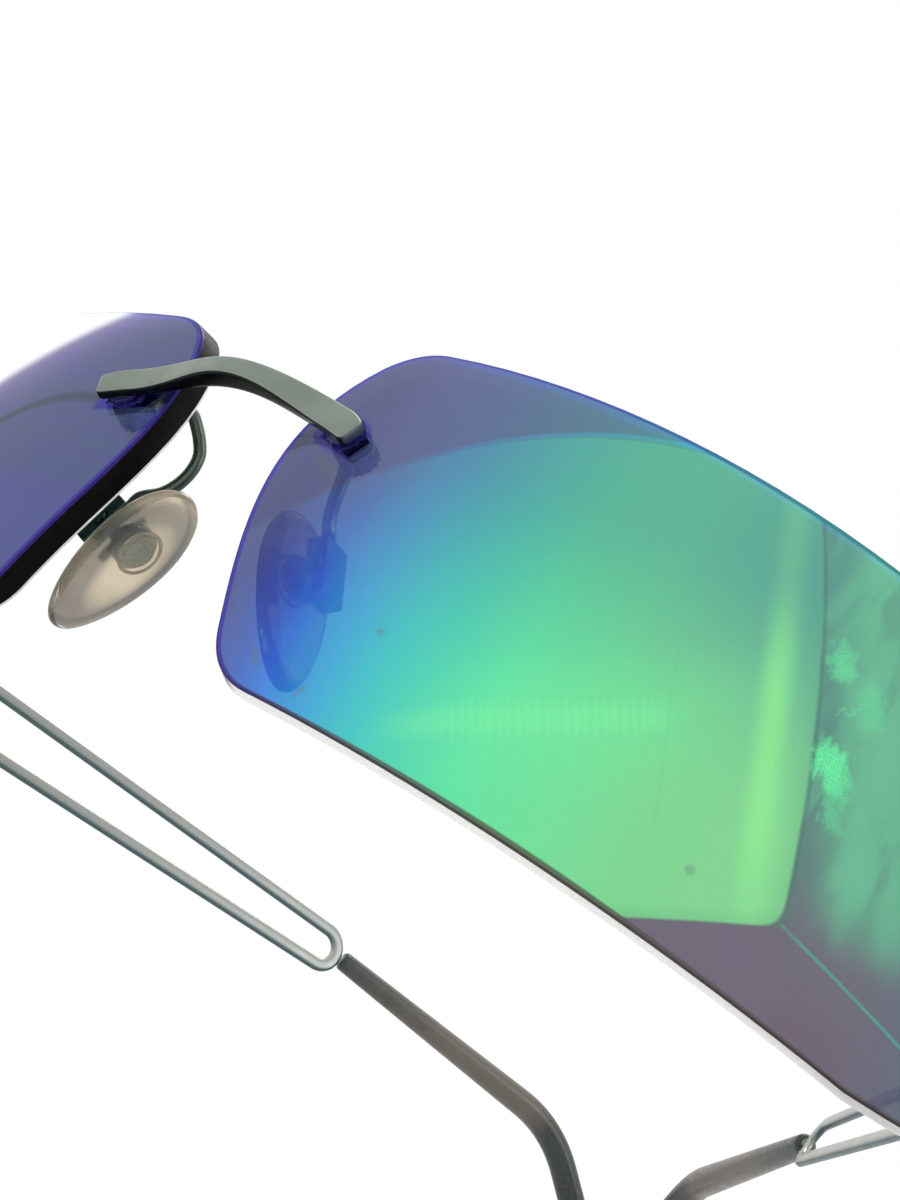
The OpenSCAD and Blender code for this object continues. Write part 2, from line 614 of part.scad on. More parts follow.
module end_piece() {
    color(metal_col) in_row() {
        difference() {
            union() {
                difference() {
                    skin(lug_rings);
                    at_hinge() knuckle_rooms(1);
                }
                at_hinge() knuckles(0, false);
            }
            at_hinge() hinge_bore();
        }
        at_hinge_posts() rod_y(post_r, -washer_t - lug_t / 2, nut_y + nut_h);
    }
}

module hinge_screw() {
    color(dark_col) in_row() at_hinge() difference() {
        union() {
            translate([0, 0, -hinge_h / 2]) cylinder(r = screw_r, h = hinge_h);
            translate([0, 0, hinge_h / 2]) cylinder(r = screw_head_r, h = screw_head_h);
        }
        translate([-screw_head_r - over, -screw_slot_w / 2, hinge_h / 2 + screw_head_h - screw_slot_d])
            cube([2 * (screw_head_r + over), screw_slot_w, screw_slot_d + over]);
    }
}

// Wire loop: rings down one leg, round the bend and back up the other
leg_l = loop_r * tan(acos(loop_r / norm([loop_run, loop_front_w / 2])));
function loop_ring(a, back, grow) =
    [for (p = oblong(wire_t + 2 * grow, wire_h + 2 * grow, wire_sides, wire_square))
        [p[0], loop_centre + (loop_r + p[1]) * cos(a) - back * abs(sin(a)),
         (loop_r + p[1]) * sin(a) + back * cos(a) * sign(sin(a))]];
loop_a = 90 - loop_taper;
module temple_wire() {
    color(metal_col) in_row() in_loop() skin(concat(
        [loop_ring(-loop_a, leg_l + socket_l, 0)],
        [for (k = [0:loop_steps]) loop_ring(loop_a * (2 * k / loop_steps - 1), 0, 0)],
        [loop_ring(loop_a, leg_l + socket_l, 0)]));
}
module sockets() {
    deep = leg_l + socket_l + seat_gap;
    skin([loop_ring(-loop_a, deep, seat_gap), loop_ring(-loop_a, leg_l / 2, seat_gap)]);
    skin([loop_ring(loop_a, leg_l / 2, seat_gap), loop_ring(loop_a, deep, seat_gap)]);
}

// Hinge plate: butts on the end piece and leans over to take the two wires
module hinge_plate() {
    color(metal_col) in_row() in_temple() difference() {
        union() {
            difference() {
                skin([for (k = [0:plate_steps])
                    let (u = k / plate_steps, ease = u * u * (3 - 2 * u), lean = loop_cant * ease)
                    [for (p = oblong(lug_t, hinge_h + (plate_back_h - hinge_h) * ease, lug_sides, lug_square))
                        [wire_line - p[0] * cos(lean) + p[1] * sin(lean),
                         butt_gap / 2 + (plate_l - butt_gap / 2) * u,
                         p[0] * sin(lean) + p[1] * cos(lean)]]]);
                knuckle_rooms(0);
                translate([wire_line, plate_l, 0]) rotate([0, 90, 0])
                    cylinder(r = plate_notch_r, h = 2 * lug_t, center = true);
            }
            knuckles(1, true);
        }
        hinge_bore();
        translate([wire_line, 0, 0]) rotate([0, loop_cant, 0]) sockets();
    }
}

// Temple tip: rings down a soft sleeve that grows, bends down and ends round, and the rod inside
function tip_line(l) = l < tip_straight ? [l, 0, 0]
    : l < tip_turn_end ? let (a = (l - tip_straight) / tip_bend_r * 180 / PI)
        [tip_straight + tip_bend_r * sin(a), -tip_bend_r * (1 - cos(a)), a]
    : let (d = turned([l - tip_turn_end, 0], -tip_bend))
        [tip_straight + tip_bend_r * sin(tip_bend) + d[0], -tip_bend_r * (1 - cos(tip_bend)) + d[1], tip_bend];
function tip_ring(l, r) = let (at = tip_line(l)) [for (k = [0:tip_sides - 1])
    let (out = -r * cos(k * 360 / tip_sides), up = r * sin(k * 360 / tip_sides))
    [out, at[0] + up * sin(at[2]), at[1] + up * cos(at[2])]];
module temple_tip() {
    color(tip_col) in_row() in_tip() difference() {
        skin(concat(
            [for (k = [0:tip_round_steps]) let (q = 90 * k / tip_round_steps)
                tip_ring(tip_nose_round * (1 - cos(q)), tip_front_d / 2 - tip_nose_round * (1 - sin(q)))],
            [for (k = [0:tip_turn_steps])
                tip_ring(tip_straight + (tip_turn_end - tip_straight) * k / tip_turn_steps, tip_r)],
            [for (k = [0:tip_end_steps]) let (q = 90 * k / (tip_end_steps + tip_end_share))
                tip_ring(tip_turn_end + tip_last + tip_r * sin(q), tip_r * cos(q))]));
        tip_core(rod_r + seat_gap, -over);
    }
}
module tip_core(r, y0) {
    rod_y(r, y0, tip_straight);
    translate([0, tip_straight, -tip_bend_r]) on_edge()
        rotate_extrude(angle = tip_bend, start = 90 - tip_bend) translate([tip_bend_r, 0]) circle(r = r);
}
// the rod's slanted end clears the bend of the loop
rod_from = rod_r * (tan(tip_slope) + tan(tip_in)) - tip_lead;
module temple_rod() color(metal_col) in_row() in_tip() tip_core(rod_r, rod_from);

on_side(1) lens();  // lens_left
on_side(-1) lens();  // lens_right
bridge();
lens_bushes();
lens_washers();
bridge_nuts();
hinge_nuts();
on_side(1) pad_arm();  // pad_arm_left
on_side(-1) pad_arm();  // pad_arm_right
on_side(1) pad_box();  // pad_box_left
on_side(-1) pad_box();  // pad_box_right
pad_screws();
on_side(1) pad_core();  // pad_core_left
on_side(-1) pad_core();  // pad_core_right
on_side(1) nose_pad();  // nose_pad_left
on_side(-1) nose_pad();  // nose_pad_right
on_side(1) end_piece();  // end_piece_left
on_side(-1) end_piece();  // end_piece_right
on_side(1) hinge_screw();  // hinge_screw_left
on_side(-1) hinge_screw();  // hinge_screw_right
on_side(1) hinge_plate();  // hinge_plate_left
on_side(-1) hinge_plate();  // hinge_plate_right
on_side(1) temple_wire();  // temple_wire_left
on_side(-1) temple_wire();  // temple_wire_right
on_side(1) temple_rod();  // temple_rod_left
on_side(-1) temple_rod();  // temple_rod_right
on_side(1) temple_tip();  // temple_tip_left
on_side(-1) temple_tip();  // temple_tip_right
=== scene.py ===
"""Rimless sunglasses: the visible model, its materials and a plain studio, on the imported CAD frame."""

import math

import bmesh
import bpy
from mathutils import Matrix, Vector


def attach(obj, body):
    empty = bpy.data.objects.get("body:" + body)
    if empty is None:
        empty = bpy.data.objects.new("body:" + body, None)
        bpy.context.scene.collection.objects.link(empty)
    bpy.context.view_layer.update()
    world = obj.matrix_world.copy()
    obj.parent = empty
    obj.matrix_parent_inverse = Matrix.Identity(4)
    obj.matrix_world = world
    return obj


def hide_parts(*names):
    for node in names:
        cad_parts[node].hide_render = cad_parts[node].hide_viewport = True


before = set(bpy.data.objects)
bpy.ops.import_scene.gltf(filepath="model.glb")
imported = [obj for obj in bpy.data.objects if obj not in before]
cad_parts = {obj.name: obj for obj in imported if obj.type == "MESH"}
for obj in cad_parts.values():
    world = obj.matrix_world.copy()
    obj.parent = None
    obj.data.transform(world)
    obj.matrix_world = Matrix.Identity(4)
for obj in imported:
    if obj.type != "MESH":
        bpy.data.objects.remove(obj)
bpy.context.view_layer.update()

bl_info = {
    "name": "Rimless sunglasses",
    "version": (1, 0, 0),
    "blender": (4, 5, 0),
    "location": "View3D > Sidebar > Eyewear",
    "description": "Builds rimless sunglasses over their packed frame",
    "category": "Add Mesh",
}

MM = 0.001
SIDES = {"left": 1, "right": -1}

# ---------------------------------------------------------------- places, in millimetres


def shift(x, y, z):
    return Matrix.Translation((x, y, z))


def turn(degrees, axis):
    return Matrix.Rotation(math.radians(degrees), 4, axis)


def placed(across, up, at):
    """A frame from two of its directions, sizes included, and its place."""
    made = Matrix((across, up, across.cross(up).normalized())).transposed().to_4x4()
    made.translation = at
    return made


# Half of the glasses as the source has it: x out, y back and z up, from the lens centres.
LENS_R, LENS_T, WRAP, REACH = 66.0, 2.1, 19.5, 37.35
TEMPLE_LOW = 4.3
POST_R, BUSH_R, SEAT, WASHER_T, NUT_R, NUT_H = 0.6, 0.95, 0.02, 0.4, 1.55, 1.3
ROW_BACK, ROW_STAND = 63.20352, 18.73696
ROW = Matrix.Scale(MM, 4) @ shift(0, -ROW_BACK, ROW_STAND)
LENS = shift(REACH, 0, 0) @ turn(WRAP, "Z")


def on_lens(x, z):
    """The frame at x, z on the front of a lens, its y straight in."""
    deep = math.sqrt(LENS_R**2 - x * x - z * z)
    yaw, lean = math.degrees(math.atan2(x, deep)), math.degrees(math.asin(z / LENS_R))
    return LENS @ shift(x, LENS_R - deep, z) @ turn(yaw, "Z") @ turn(-lean, "X")


BRIDGE_SPOT = (-25.2953, 9.6)
HINGE_SPOTS = ((27.9047, -2.5066), (27.9047, -6.0934))
POST = on_lens(*BRIDGE_SPOT)
PAD_SPOT, PAD_SPLAY, PAD_FLARE, PAD_LEAN = (9.2, 4.88, -1.47), 4.4, 24.5, 5.3
PAD = shift(*PAD_SPOT) @ turn(-PAD_SPLAY, "Z") @ turn(-PAD_FLARE, "Y") @ turn(PAD_LEAN, "X")
HINGE_X, HINGE_Y, FOLD = 68.99503, 27.68635, 31.4
TEMPLE = shift(HINGE_X, HINGE_Y, -TEMPLE_LOW) @ turn(FOLD, "Z")
LOOP_L, LOOP_OUT, LOOP_CANT = 75.0, 1.85, 12
LOOP = TEMPLE @ shift(LOOP_OUT, 0, 0) @ turn(LOOP_CANT, "Y")
TIP_GAP, TIP_OUT, TIP_DOWN = 0.2, 4.4, 4.9
TIP = TEMPLE @ shift(LOOP_OUT, LOOP_L + TIP_GAP, 0) @ turn(TIP_OUT, "Z") @ turn(-TIP_DOWN, "X")


def half(label):
    """From a half of the glasses to the row, in metres."""
    return ROW @ Matrix.Diagonal((SIDES[label], 1, 1, 1))


# ---------------------------------------------------------------- mesh making


def new_mesh():
    bm = bmesh.new()
    bm.verts.layers.float.new("along")
    return bm


def soft_oblong(square):
    """Bends a unit circle to an oblong with soft corners."""
    return lambda c, s: (math.copysign(abs(c) ** square, c), math.copysign(abs(s) ** square, s))


def unit_ring(bm, count):
    """A circle's vertices and edges."""
    ring = bmesh.ops.create_circle(bm, segments=count, radius=1.0)["verts"]
    return ring, list(dict.fromkeys(edge for vert in ring for edge in vert.link_edges))


def grow(bm, edges):
    """Extrudes a loop of edges, and gives the new loop's vertices and edges."""
    made = bmesh.ops.extrude_edge_only(bm, edges=edges)["geom"]
    ring = [item for item in made if isinstance(item, bmesh.types.BMVert)]
    fresh = set(ring)
    return ring, [item for item in made if isinstance(item, bmesh.types.BMEdge) and fresh.issuperset(item.verts)]


def sweep(bm, stations, count, shape=None):
    """Extrudes a ring of edges through frames that hold its place, heading and size, and closes both ends."""
    along = bm.verts.layers.float["along"]
    ring, first = unit_ring(bm, count)
    edges = first
    for vert in ring:
        if shape:
            vert.co.x, vert.co.y = shape(vert.co.x, vert.co.y)
    bmesh.ops.transform(bm, matrix=stations[0], verts=ring)
    for k in range(1, len(stations)):
        ring, edges = grow(bm, edges)
        bmesh.ops.transform(bm, matrix=stations[k] @ stations[k - 1].inverted(), verts=ring)
        for vert in ring:
            vert[along] = k / (len(stations) - 1)
    for loop in (first, edges):
        bmesh.ops.edgeloop_fill(bm, edges=loop)


def turned(bm, at, profile, count=40, shape=None):
    """A turned shape on a frame's y axis, from pairs of radius and place."""
    stations = [at @ placed(Vector((r, 0, 0)), Vector((0, 0, r)), Vector((0, y, 0))) for r, y in profile]
    sweep(bm, stations, count, shape)


def soft_rod(bm, at, r, y0, y1, edge=0.1, count=40):
    """A rod along a frame's y axis with small rounded ends."""
    steps = [(edge * (1 - math.cos(a)), edge * (1 - math.sin(a))) for a in (0, math.pi / 4, math.pi / 2)]
    ends = [(r - lost, y0 + gone) for gone, lost in steps] + [(r - lost, y1 - gone) for gone, lost in reversed(steps)]
    turned(bm, at, ends, count)


def curve_point(points, t):
    i = min(int(t), len(points) - 2)
    f = t - i
    a, b, c, d = points[max(i - 1, 0)], points[i], points[i + 1], points[min(i + 2, len(points) - 1)]
    return (b * 2 + (c - a) * f + (a * 2 - b * 5 + c * 4 - d) * f**2 + (b * 3 - a - c * 3 + d) * f**3) / 2


def wire_stations(points, radius, steps):
    """Frames along a smooth curve through the points, carried on without twist."""
    line = [curve_point(points, (len(points) - 1) * i / steps) for i in range(steps + 1)]
    stations = []
    across = Vector((1, 0, 0))
    for i, point in enumerate(line):
        way = (line[min(i + 1, steps)] - line[max(i - 1, 0)]).normalized()
        across = (across - way * across.dot(way)).normalized()
        stations.append(placed(across * radius, way.cross(across) * radius, point))
    return stations


def new_object(name, bm, matrix, sharp):
    """Sets a finished bmesh in its place in the row as an object with smooth shading and crisp corners."""
    bmesh.ops.transform(bm, matrix=matrix, verts=bm.verts)
    bmesh.ops.recalc_face_normals(bm, faces=bm.faces)
    for face in bm.faces:
        face.smooth = True
    for edge in bm.edges:
        edge.smooth = len(edge.link_faces) == 2 and edge.calc_face_angle(0.0) < math.radians(sharp)
    mesh = bpy.data.meshes.new(name)
    bm.to_mesh(mesh)
    bm.free()
    obj = bpy.data.objects.new(name, mesh)
    bpy.context.scene.collection.objects.link(obj)
    return obj


def settle(obj, finishes, body, slot, *replaced):
    """Gives a piece its materials and its body, and hides the CAD nodes it stands for. The slot is not used."""
    for finish in finishes:
        obj.data.materials.append(finish)
    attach(obj, body)
    if replaced:
        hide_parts(*replaced)


# ---------------------------------------------------------------- node helpers


def srgb(r, g, b):
    """An eight-bit colour as the shader's linear one."""
    return tuple(((v / 255 + 0.055) / 1.055) ** 2.4 if v > 10 else v / 255 / 12.92 for v in (r, g, b)) + (1.0,)


def opaque(colour):
    return tuple(colour[:3]) + (1.0,)


def grey(level):
    return (level, level, level, 1)


def shade(colour, by):
    return tuple(min(1.0, c * by) for c in colour[:3]) + (1.0,)


def node(tree, kind, **settings):
    made = tree.nodes.new(kind)
    for key, value in settings.items():
        setattr(made, key, value)
    return made


def feed(tree, socket, value):
    if isinstance(value, bpy.types.NodeSocket):
        tree.links.new(value, socket)
    else:
        socket.default_value = value


def fill(tree, sockets, values):
    for key, value in values.items():
        feed(tree, sockets[key], value)


def calc(tree, operation, *values):
    made = node(tree, "ShaderNodeMath", operation=operation)
    for socket, value in zip(made.inputs, values):
        feed(tree, socket, value)
    return made.outputs[0]


def both(tree, *values):
    """The product of several masks."""
    product = values[0]
    for value in values[1:]:
        product = calc(tree, "MULTIPLY", product, value)
    return product


def line_of(tree, x, slope, start):
    return calc(tree, "MULTIPLY_ADD", x, slope, start)


def less(tree, a, b):
    return calc(tree, "SUBTRACT", a, b)


def blend(tree, a, share_a, b, share_b):
    return line_of(tree, a, share_a, calc(tree, "MULTIPLY", b, share_b))


def away(tree, a, b):
    """How far two values are apart."""
    return calc(tree, "ABSOLUTE", less(tree, a, b))


def fade(tree, value, low, high, out_low=0.0, out_high=1.0):
    """Goes smoothly from out_low to out_high as value goes from low to high."""
    made = node(tree, "ShaderNodeMapRange", interpolation_type="SMOOTHSTEP")
    fill(tree, made.inputs, {"Value": value, "From Min": low, "From Max": high, "To Min": out_low,
                             "To Max": out_high})
    return made.outputs[0]


def ramp(tree, value, low, high, stops):
    """A colour ramp whose stops are places between low and high."""
    share = node(tree, "ShaderNodeMapRange")
    fill(tree, share.inputs, {"Value": value, "From Min": low, "From Max": high})
    made = node(tree, "ShaderNodeValToRGB")
    tree.links.new(share.outputs[0], made.inputs[0])
    band = made.color_ramp
    while len(band.elements) < len(stops):
        band.elements.new(0.5)
    for element, (at, colour) in zip(band.elements, stops):
        element.position = (at - low) / (high - low)
        element.color = colour
    return made.outputs[0]


def mix(tree, share, a, b):
    made = node(tree, "ShaderNodeMix", data_type="RGBA", clamp_factor=True)
    fill(tree, made.inputs, {0: share, 6: a, 7: b})
    return made.outputs[2]


def noise(tree, vector, scale, detail=3.0, roughness=0.55, distortion=0.0):
    made = node(tree, "ShaderNodeTexNoise")
    fill(tree, made.inputs, {"Vector": vector, "Scale": scale, "Detail": detail, "Roughness": roughness,
                             "Distortion": distortion})
    return made.outputs["Fac"]


def object_coords(tree):
    return node(tree, "ShaderNodeTexCoord").outputs["Object"]


def worn(tree, scale, detail=2.0, low=0.3, high=0.7, least=0.0, most=1.0, roughness=0.55):
    """Noise on the object's own place, spread from least to most."""
    return fade(tree, noise(tree, object_coords(tree), scale, detail, roughness), low, high, least, most)


def scaled(tree, vector, by, start=None):
    made = node(tree, "ShaderNodeVectorMath", operation="MULTIPLY_ADD" if start else "MULTIPLY")
    fill(tree, made.inputs, {0: vector, 1: by, 2: start} if start else {0: vector, 1: by})
    return made.outputs[0]


def attribute(tree, name):
    return node(tree, "ShaderNodeAttribute", attribute_name=name).outputs["Fac"]


def parts_of(tree, vector):
    split = node(tree, "ShaderNodeSeparateXYZ")
    feed(tree, split.inputs[0], vector)
    return split.outputs


def bump_of(tree, height, strength, distance):
    made = node(tree, "ShaderNodeBump")
    fill(tree, made.inputs, {"Strength": strength, "Height": height, "Distance": distance})
    return made.outputs[0]


def group(name, inputs, outputs):
    """A node group that puts out colours, masks, values and normals only."""
    tree = bpy.data.node_groups.new(name, "ShaderNodeTree")
    for label, kind, value in inputs:
        socket = tree.interface.new_socket(label, in_out="INPUT", socket_type=kind)
        if value is not None:
            socket.default_value = value
    for label, kind in outputs:
        tree.interface.new_socket(label, in_out="OUTPUT", socket_type=kind)
    return tree, tree.nodes.new("NodeGroupInput").outputs, tree.nodes.new("NodeGroupOutput").inputs


def use_group(tree, shared, **values):
    made = node(tree, "ShaderNodeGroup", node_tree=shared)
    fill(tree, made.inputs, values)
    return made.outputs


# Height of the finest bumps, in metres.
FINE = 0.00002


def grain_group():
    """Fine grain of a worked surface: a tone for its colour, a share for its roughness and a normal."""
    if "fine_grain" in bpy.data.node_groups:
        return bpy.data.node_groups["fine_grain"]
    tree, given, out = group(
        "fine_grain",
        [("Vector", "NodeSocketVector", None), ("Depth", "NodeSocketFloat", 0.1)],
        [("Tone", "NodeSocketFloat"), ("Rough", "NodeSocketFloat"), ("Normal", "NodeSocketVector")],
    )
    fine = noise(tree, given["Vector"], 4200, 2.0, 0.6)
    cloud = noise(tree, given["Vector"], 380, 3.0, 0.5)
    lines = noise(tree, scaled(tree, given["Vector"], (0.12, 1.0, 1.0)), 6000, 1.0, 0.5)
    fill(tree, out, {
        "Tone": blend(tree, cloud, 0.8, fine, 0.2),
        "Rough": blend(tree, cloud, 0.5, lines, 0.5),
        "Normal": bump_of(tree, blend(tree, fine, 0.5, lines, 0.5), given["Depth"], FINE),
    })
    return tree


def see_through(tree, share):
    """Puts a clear shader in a material's place by a share."""
    either = node(tree, "ShaderNodeMixShader")
    feed(tree, either.inputs[0], share)
    feed(tree, either.inputs[1], tree.nodes["Principled BSDF"].outputs[0])
    feed(tree, either.inputs[2], node(tree, "ShaderNodeBsdfTransparent").outputs[0])
    feed(tree, tree.nodes["Material Output"].inputs["Surface"], either.outputs[0])


def new_material(name):
    made = bpy.data.materials.new(name)
    made.use_nodes = True
    return made, made.node_tree, made.node_tree.nodes["Principled BSDF"].inputs


def metal_material(name, colours, places, rough, light=(0, 0, 1), drift=0.1):
    """Satin metal with painted shade and highlight: its colour goes through a row of tones as its faces turn to a
    painted light, with faint grain, and it is painted paler where seen in reflections.
    """
    made, tree, shader = new_material(name)
    worked = use_group(tree, grain_group(), Vector=object_coords(tree), Depth=0.05)
    # Painted shade and highlight: the tone follows how each face turns to the painted light.
    turned_to = node(tree, "ShaderNodeVectorMath", operation="DOT_PRODUCT")
    fill(tree, turned_to.inputs, {0: node(tree, "ShaderNodeTexCoord").outputs["Normal"], 1: light})
    tone = ramp(tree, turned_to.outputs["Value"], -1, 1, list(zip(places, colours)))
    tone = mix(tree, fade(tree, worked["Tone"], 0.34, 0.66, 0.0, drift), tone, shade(colours[0], 1.3))
    # Painted reflection: seen in a reflection, the metal shows its top tone, paler.
    mirrored = node(tree, "ShaderNodeLightPath").outputs["Is Glossy Ray"]
    fill(tree, shader, {
        "Base Color": mix(tree, mirrored, tone, shade(colours[-1], 1.2)),
        "Roughness": fade(tree, worked["Rough"], 0.3, 0.7, rough * 0.85, rough * 1.15),
        "Normal": worked["Normal"],
        "Metallic": 1.0,
    })
    return made


def bar_shade_tones(body, low, top):
    """Painted shade and highlight of a bar: dark underneath, a painted glint along the lower edge, then body to top.
    """
    glint = tuple((a + b) / 2 for a, b in zip(body[:3], top)) + (1.0,)
    return [low, low, shade(body, 0.8), glint, opaque(body), shade(body, 1.05), top]


# Where those painted tones lie from straight down to straight up, and a painted light that stands in front.
BAR_SHADE_PLACES = (-1, -0.66, -0.5, -0.4, -0.22, 0.6, 1)
FROM_FRONT = (-0.2, -0.57, 0.8)


# Painted shade and highlight of a round part: dark underneath, its own colour, then a light top.
def round_tones(body, low, top):
    return [low, low, opaque(body), top]


# Where those painted tones lie on round parts and on wires.
ROUND, WIRE = (-1, -0.45, 0.25, 1), (-1, -0.1, 0.6, 1)


# ---------------------------------------------------------------- lens materials

# Share of the light that the coating throws back, and the tint of the lens behind it.
COAT = 0.6
BACK = (1.0, 0.85, 0.17)
LENS_IOR = 1.5
# The lens's own map reaches this far from its middle, in millimetres.
MAP_HALF = 40.0
BLACK = (0, 0, 0, 1)


def coat(r, g, b):
    """The base colour that shows as the given one over white, through the coating and the tinted lens."""
    out = []
    for c, back in zip(srgb(r, g, b), BACK):
        through = (1 - COAT) * math.sqrt(back)
        s = (-through + math.sqrt(through**2 + 4 * COAT * c)) / (2 * COAT)
        out.append(min(1.0, s * s))
    return tuple(out) + (1.0,)


def coats(*stops):
    return [(at, coat(*colour)) for at, colour in stops]


def paint(tree, colour, over, *masks):
    """The coating with another colour over it by the product of some masks."""
    return mix(tree, both(tree, *masks), colour, coat(*over))


def lens_place(tree):
    """Lens x and z in millimetres, kept in the lens's own UV map."""
    uv = node(tree, "ShaderNodeUVMap", uv_map="lens_map").outputs[0]
    return scaled(tree, uv, (2 * MAP_HALF, 2 * MAP_HALF, 0), (-MAP_HALF, -MAP_HALF, 0))


def oval(tree, x, z, middle, sizes, tilt):
    """A soft oval mask: 1 in its middle and 0 at its edge."""
    dx, dz = less(tree, x, middle[0]), less(tree, z, middle[1])
    c, s = math.cos(math.radians(tilt)), math.sin(math.radians(tilt))
    along = blend(tree, dx, c / sizes[0], dz, s / sizes[0])
    across = blend(tree, dz, c / sizes[1], dx, -s / sizes[1])
    return fade(tree, blend(tree, along, along, across, across), 1.0, 0.0)


# Distance between the fine rib lines of the painted reflection in the light streak, in millimetres.
REFLECTED_RIB_PITCH = 0.62


def inner_colour(tree, x, z):
    """The coating within its bright field, a painted reflection: blue at the nose, then cyan, green and a light
    streak, a painted highlight.
    """
    low = ramp(tree, x, -32, 16, coats(
        (-31, (88, 95, 138)), (-26, (90, 98, 152)), (-22.5, (80, 112, 190)), (-20, (70, 134, 222)),
        (-16, (70, 172, 214)), (-12, (68, 202, 196)), (-8, (80, 216, 178)), (-4, (98, 230, 166)),
        (2, (116, 226, 154)), (8, (128, 216, 146)), (14, (134, 214, 146))))
    high = ramp(tree, x, -32, 16, coats(
        (-30, (85, 94, 127)), (-24, (92, 102, 144)), (-20, (92, 114, 154)), (-16, (84, 140, 178)),
        (-12, (80, 157, 170)), (-8, (81, 174, 163)), (-4, (88, 182, 152)), (2, (94, 182, 150)),
        (10, (92, 168, 150))))
    colour = mix(tree, fade(tree, z, -9, 11), low, high)
    # Painted reflection: a bright band across the field.
    band = away(tree, z, line_of(tree, x, 0.46, -6.6))
    reach = both(tree, fade(tree, x, -12, -7), fade(tree, x, 8, 5))
    colour = paint(tree, colour, (130, 250, 165), fade(tree, band, 1.6, 0.2, 0.0, 0.3), reach)
    colour = paint(tree, colour, (122, 246, 160), fade(tree, band, 7.0, 1.0, 0.0, 0.22), fade(tree, x, -14, -4),
                   fade(tree, x, 14, 6))
    # Painted reflection: fine rib lines in the light streak.
    phase = blend(tree, x, 0.894 / REFLECTED_RIB_PITCH, z, 0.447 / REFLECTED_RIB_PITCH)
    reflected_ribs = calc(tree, "SINE", calc(tree, "MULTIPLY", phase, math.tau))
    reflected_rib_zone = both(tree, fade(tree, band, 2.4, 1.0), fade(tree, x, -9, -6), fade(tree, x, 7, 5))
    colour = paint(tree, colour, (165, 250, 190), fade(tree, reflected_ribs, -1, 1), reflected_rib_zone, 0.07)
    # Painted reflection: a thin fold line across the field.
    reflected_crease = away(tree, x, line_of(tree, z, -0.308, 5.38))
    colour = paint(tree, colour, (70, 170, 110), fade(tree, reflected_crease, 0.22, 0.05, 0.0, 0.06), fade(tree, z, -12, -9),
                   fade(tree, z, 5, 1))
    # Painted highlight: the light streak.
    streak = away(tree, x, line_of(tree, z, -0.29, 12.2))
    strong = both(tree, fade(tree, z, -13, -6, 0.35, 1.0), fade(tree, z, 10, 1, 0.25, 1.0))
    return paint(tree, colour, (150, 248, 150), fade(tree, streak, 1.7, 0.1, 0.0, 0.6), strong)


def painted_fold_reflections(tree, x, z, flat):
    """The coating beyond the bright field, a painted reflection: soft green fold shapes with grained bright patches,
    which are painted highlights.
    """
    colour = ramp(tree, z, -20, 14, coats(
        (-17, (113, 102, 117)), (-12.5, (112, 110, 121)), (-9, (102, 128, 126)), (-4, (96, 144, 130)),
        (4, (94, 150, 134)), (10, (92, 158, 142))))
    off_field = less(tree, x, line_of(tree, z, -0.29, 13.3))
    colour = paint(tree, colour, (108, 190, 150), fade(tree, off_field, 2.0, 5.2), fade(tree, z, -12.5, -7), 0.85)
    colour = paint(tree, colour, (84, 118, 132), fade(tree, x, 21, 33, 0.0, 0.6))
    # Painted reflection of soft fold shapes, lighter and darker.
    drawn = scaled(tree, flat, (1.0, 0.35, 1.0))
    reflected_folds = noise(tree, drawn, 0.42, 2.0, 0.5, 0.5)
    high = fade(tree, z, -13, -8)
    colour = paint(tree, colour, (112, 192, 152), fade(tree, reflected_folds, 0.46, 0.66), high, 0.4)
    colour = paint(tree, colour, (92, 130, 124), fade(tree, reflected_folds, 0.48, 0.3), high, 0.4)
    grain = fade(tree, noise(tree, flat, 9.0, 2.0, 0.6, 0.2), 0.4, 0.6)
    moved_x = line_of(tree, noise(tree, flat, 1.1, 3.0, 0.6), 1.8, less(tree, x, 0.9))
    moved_z = line_of(tree, noise(tree, drawn, 1.7, 3.0, 0.6), 2.6, less(tree, z, 1.3))
    # Painted highlights: grained bright patches.
    for middle, sizes, tilt, peak in (((14.8, 5.5), (1.9, 1.3), -64, 0.55), ((16.9, -1.5), (2.6, 1.25), -48, 1.0),
                                      ((17.9, -4.0), (2.2, 0.9), -64, 0.4), ((15.9, -1.6), (1.5, 0.42), -70, 0.7),
                                      ((17.6, 3.6), (2.4, 1.2), -64, 0.32), ((16.6, 2.6), (1.6, 0.22), 40, 0.3)):
        spot = oval(tree, moved_x, moved_z, middle, sizes, tilt)
        colour = paint(tree, colour, (108, 248, 168), spot, line_of(tree, grain, 0.5, 0.5), peak)
    # Painted reflection: a thin green line further out.
    reflected_seam = away(tree, z, line_of(tree, x, -0.29, -6.8))
    return paint(tree, colour, (60, 170, 150), fade(tree, reflected_seam, 0.16, 0.04, 0.0, 0.7), fade(tree, x, 17.6, 18.2))


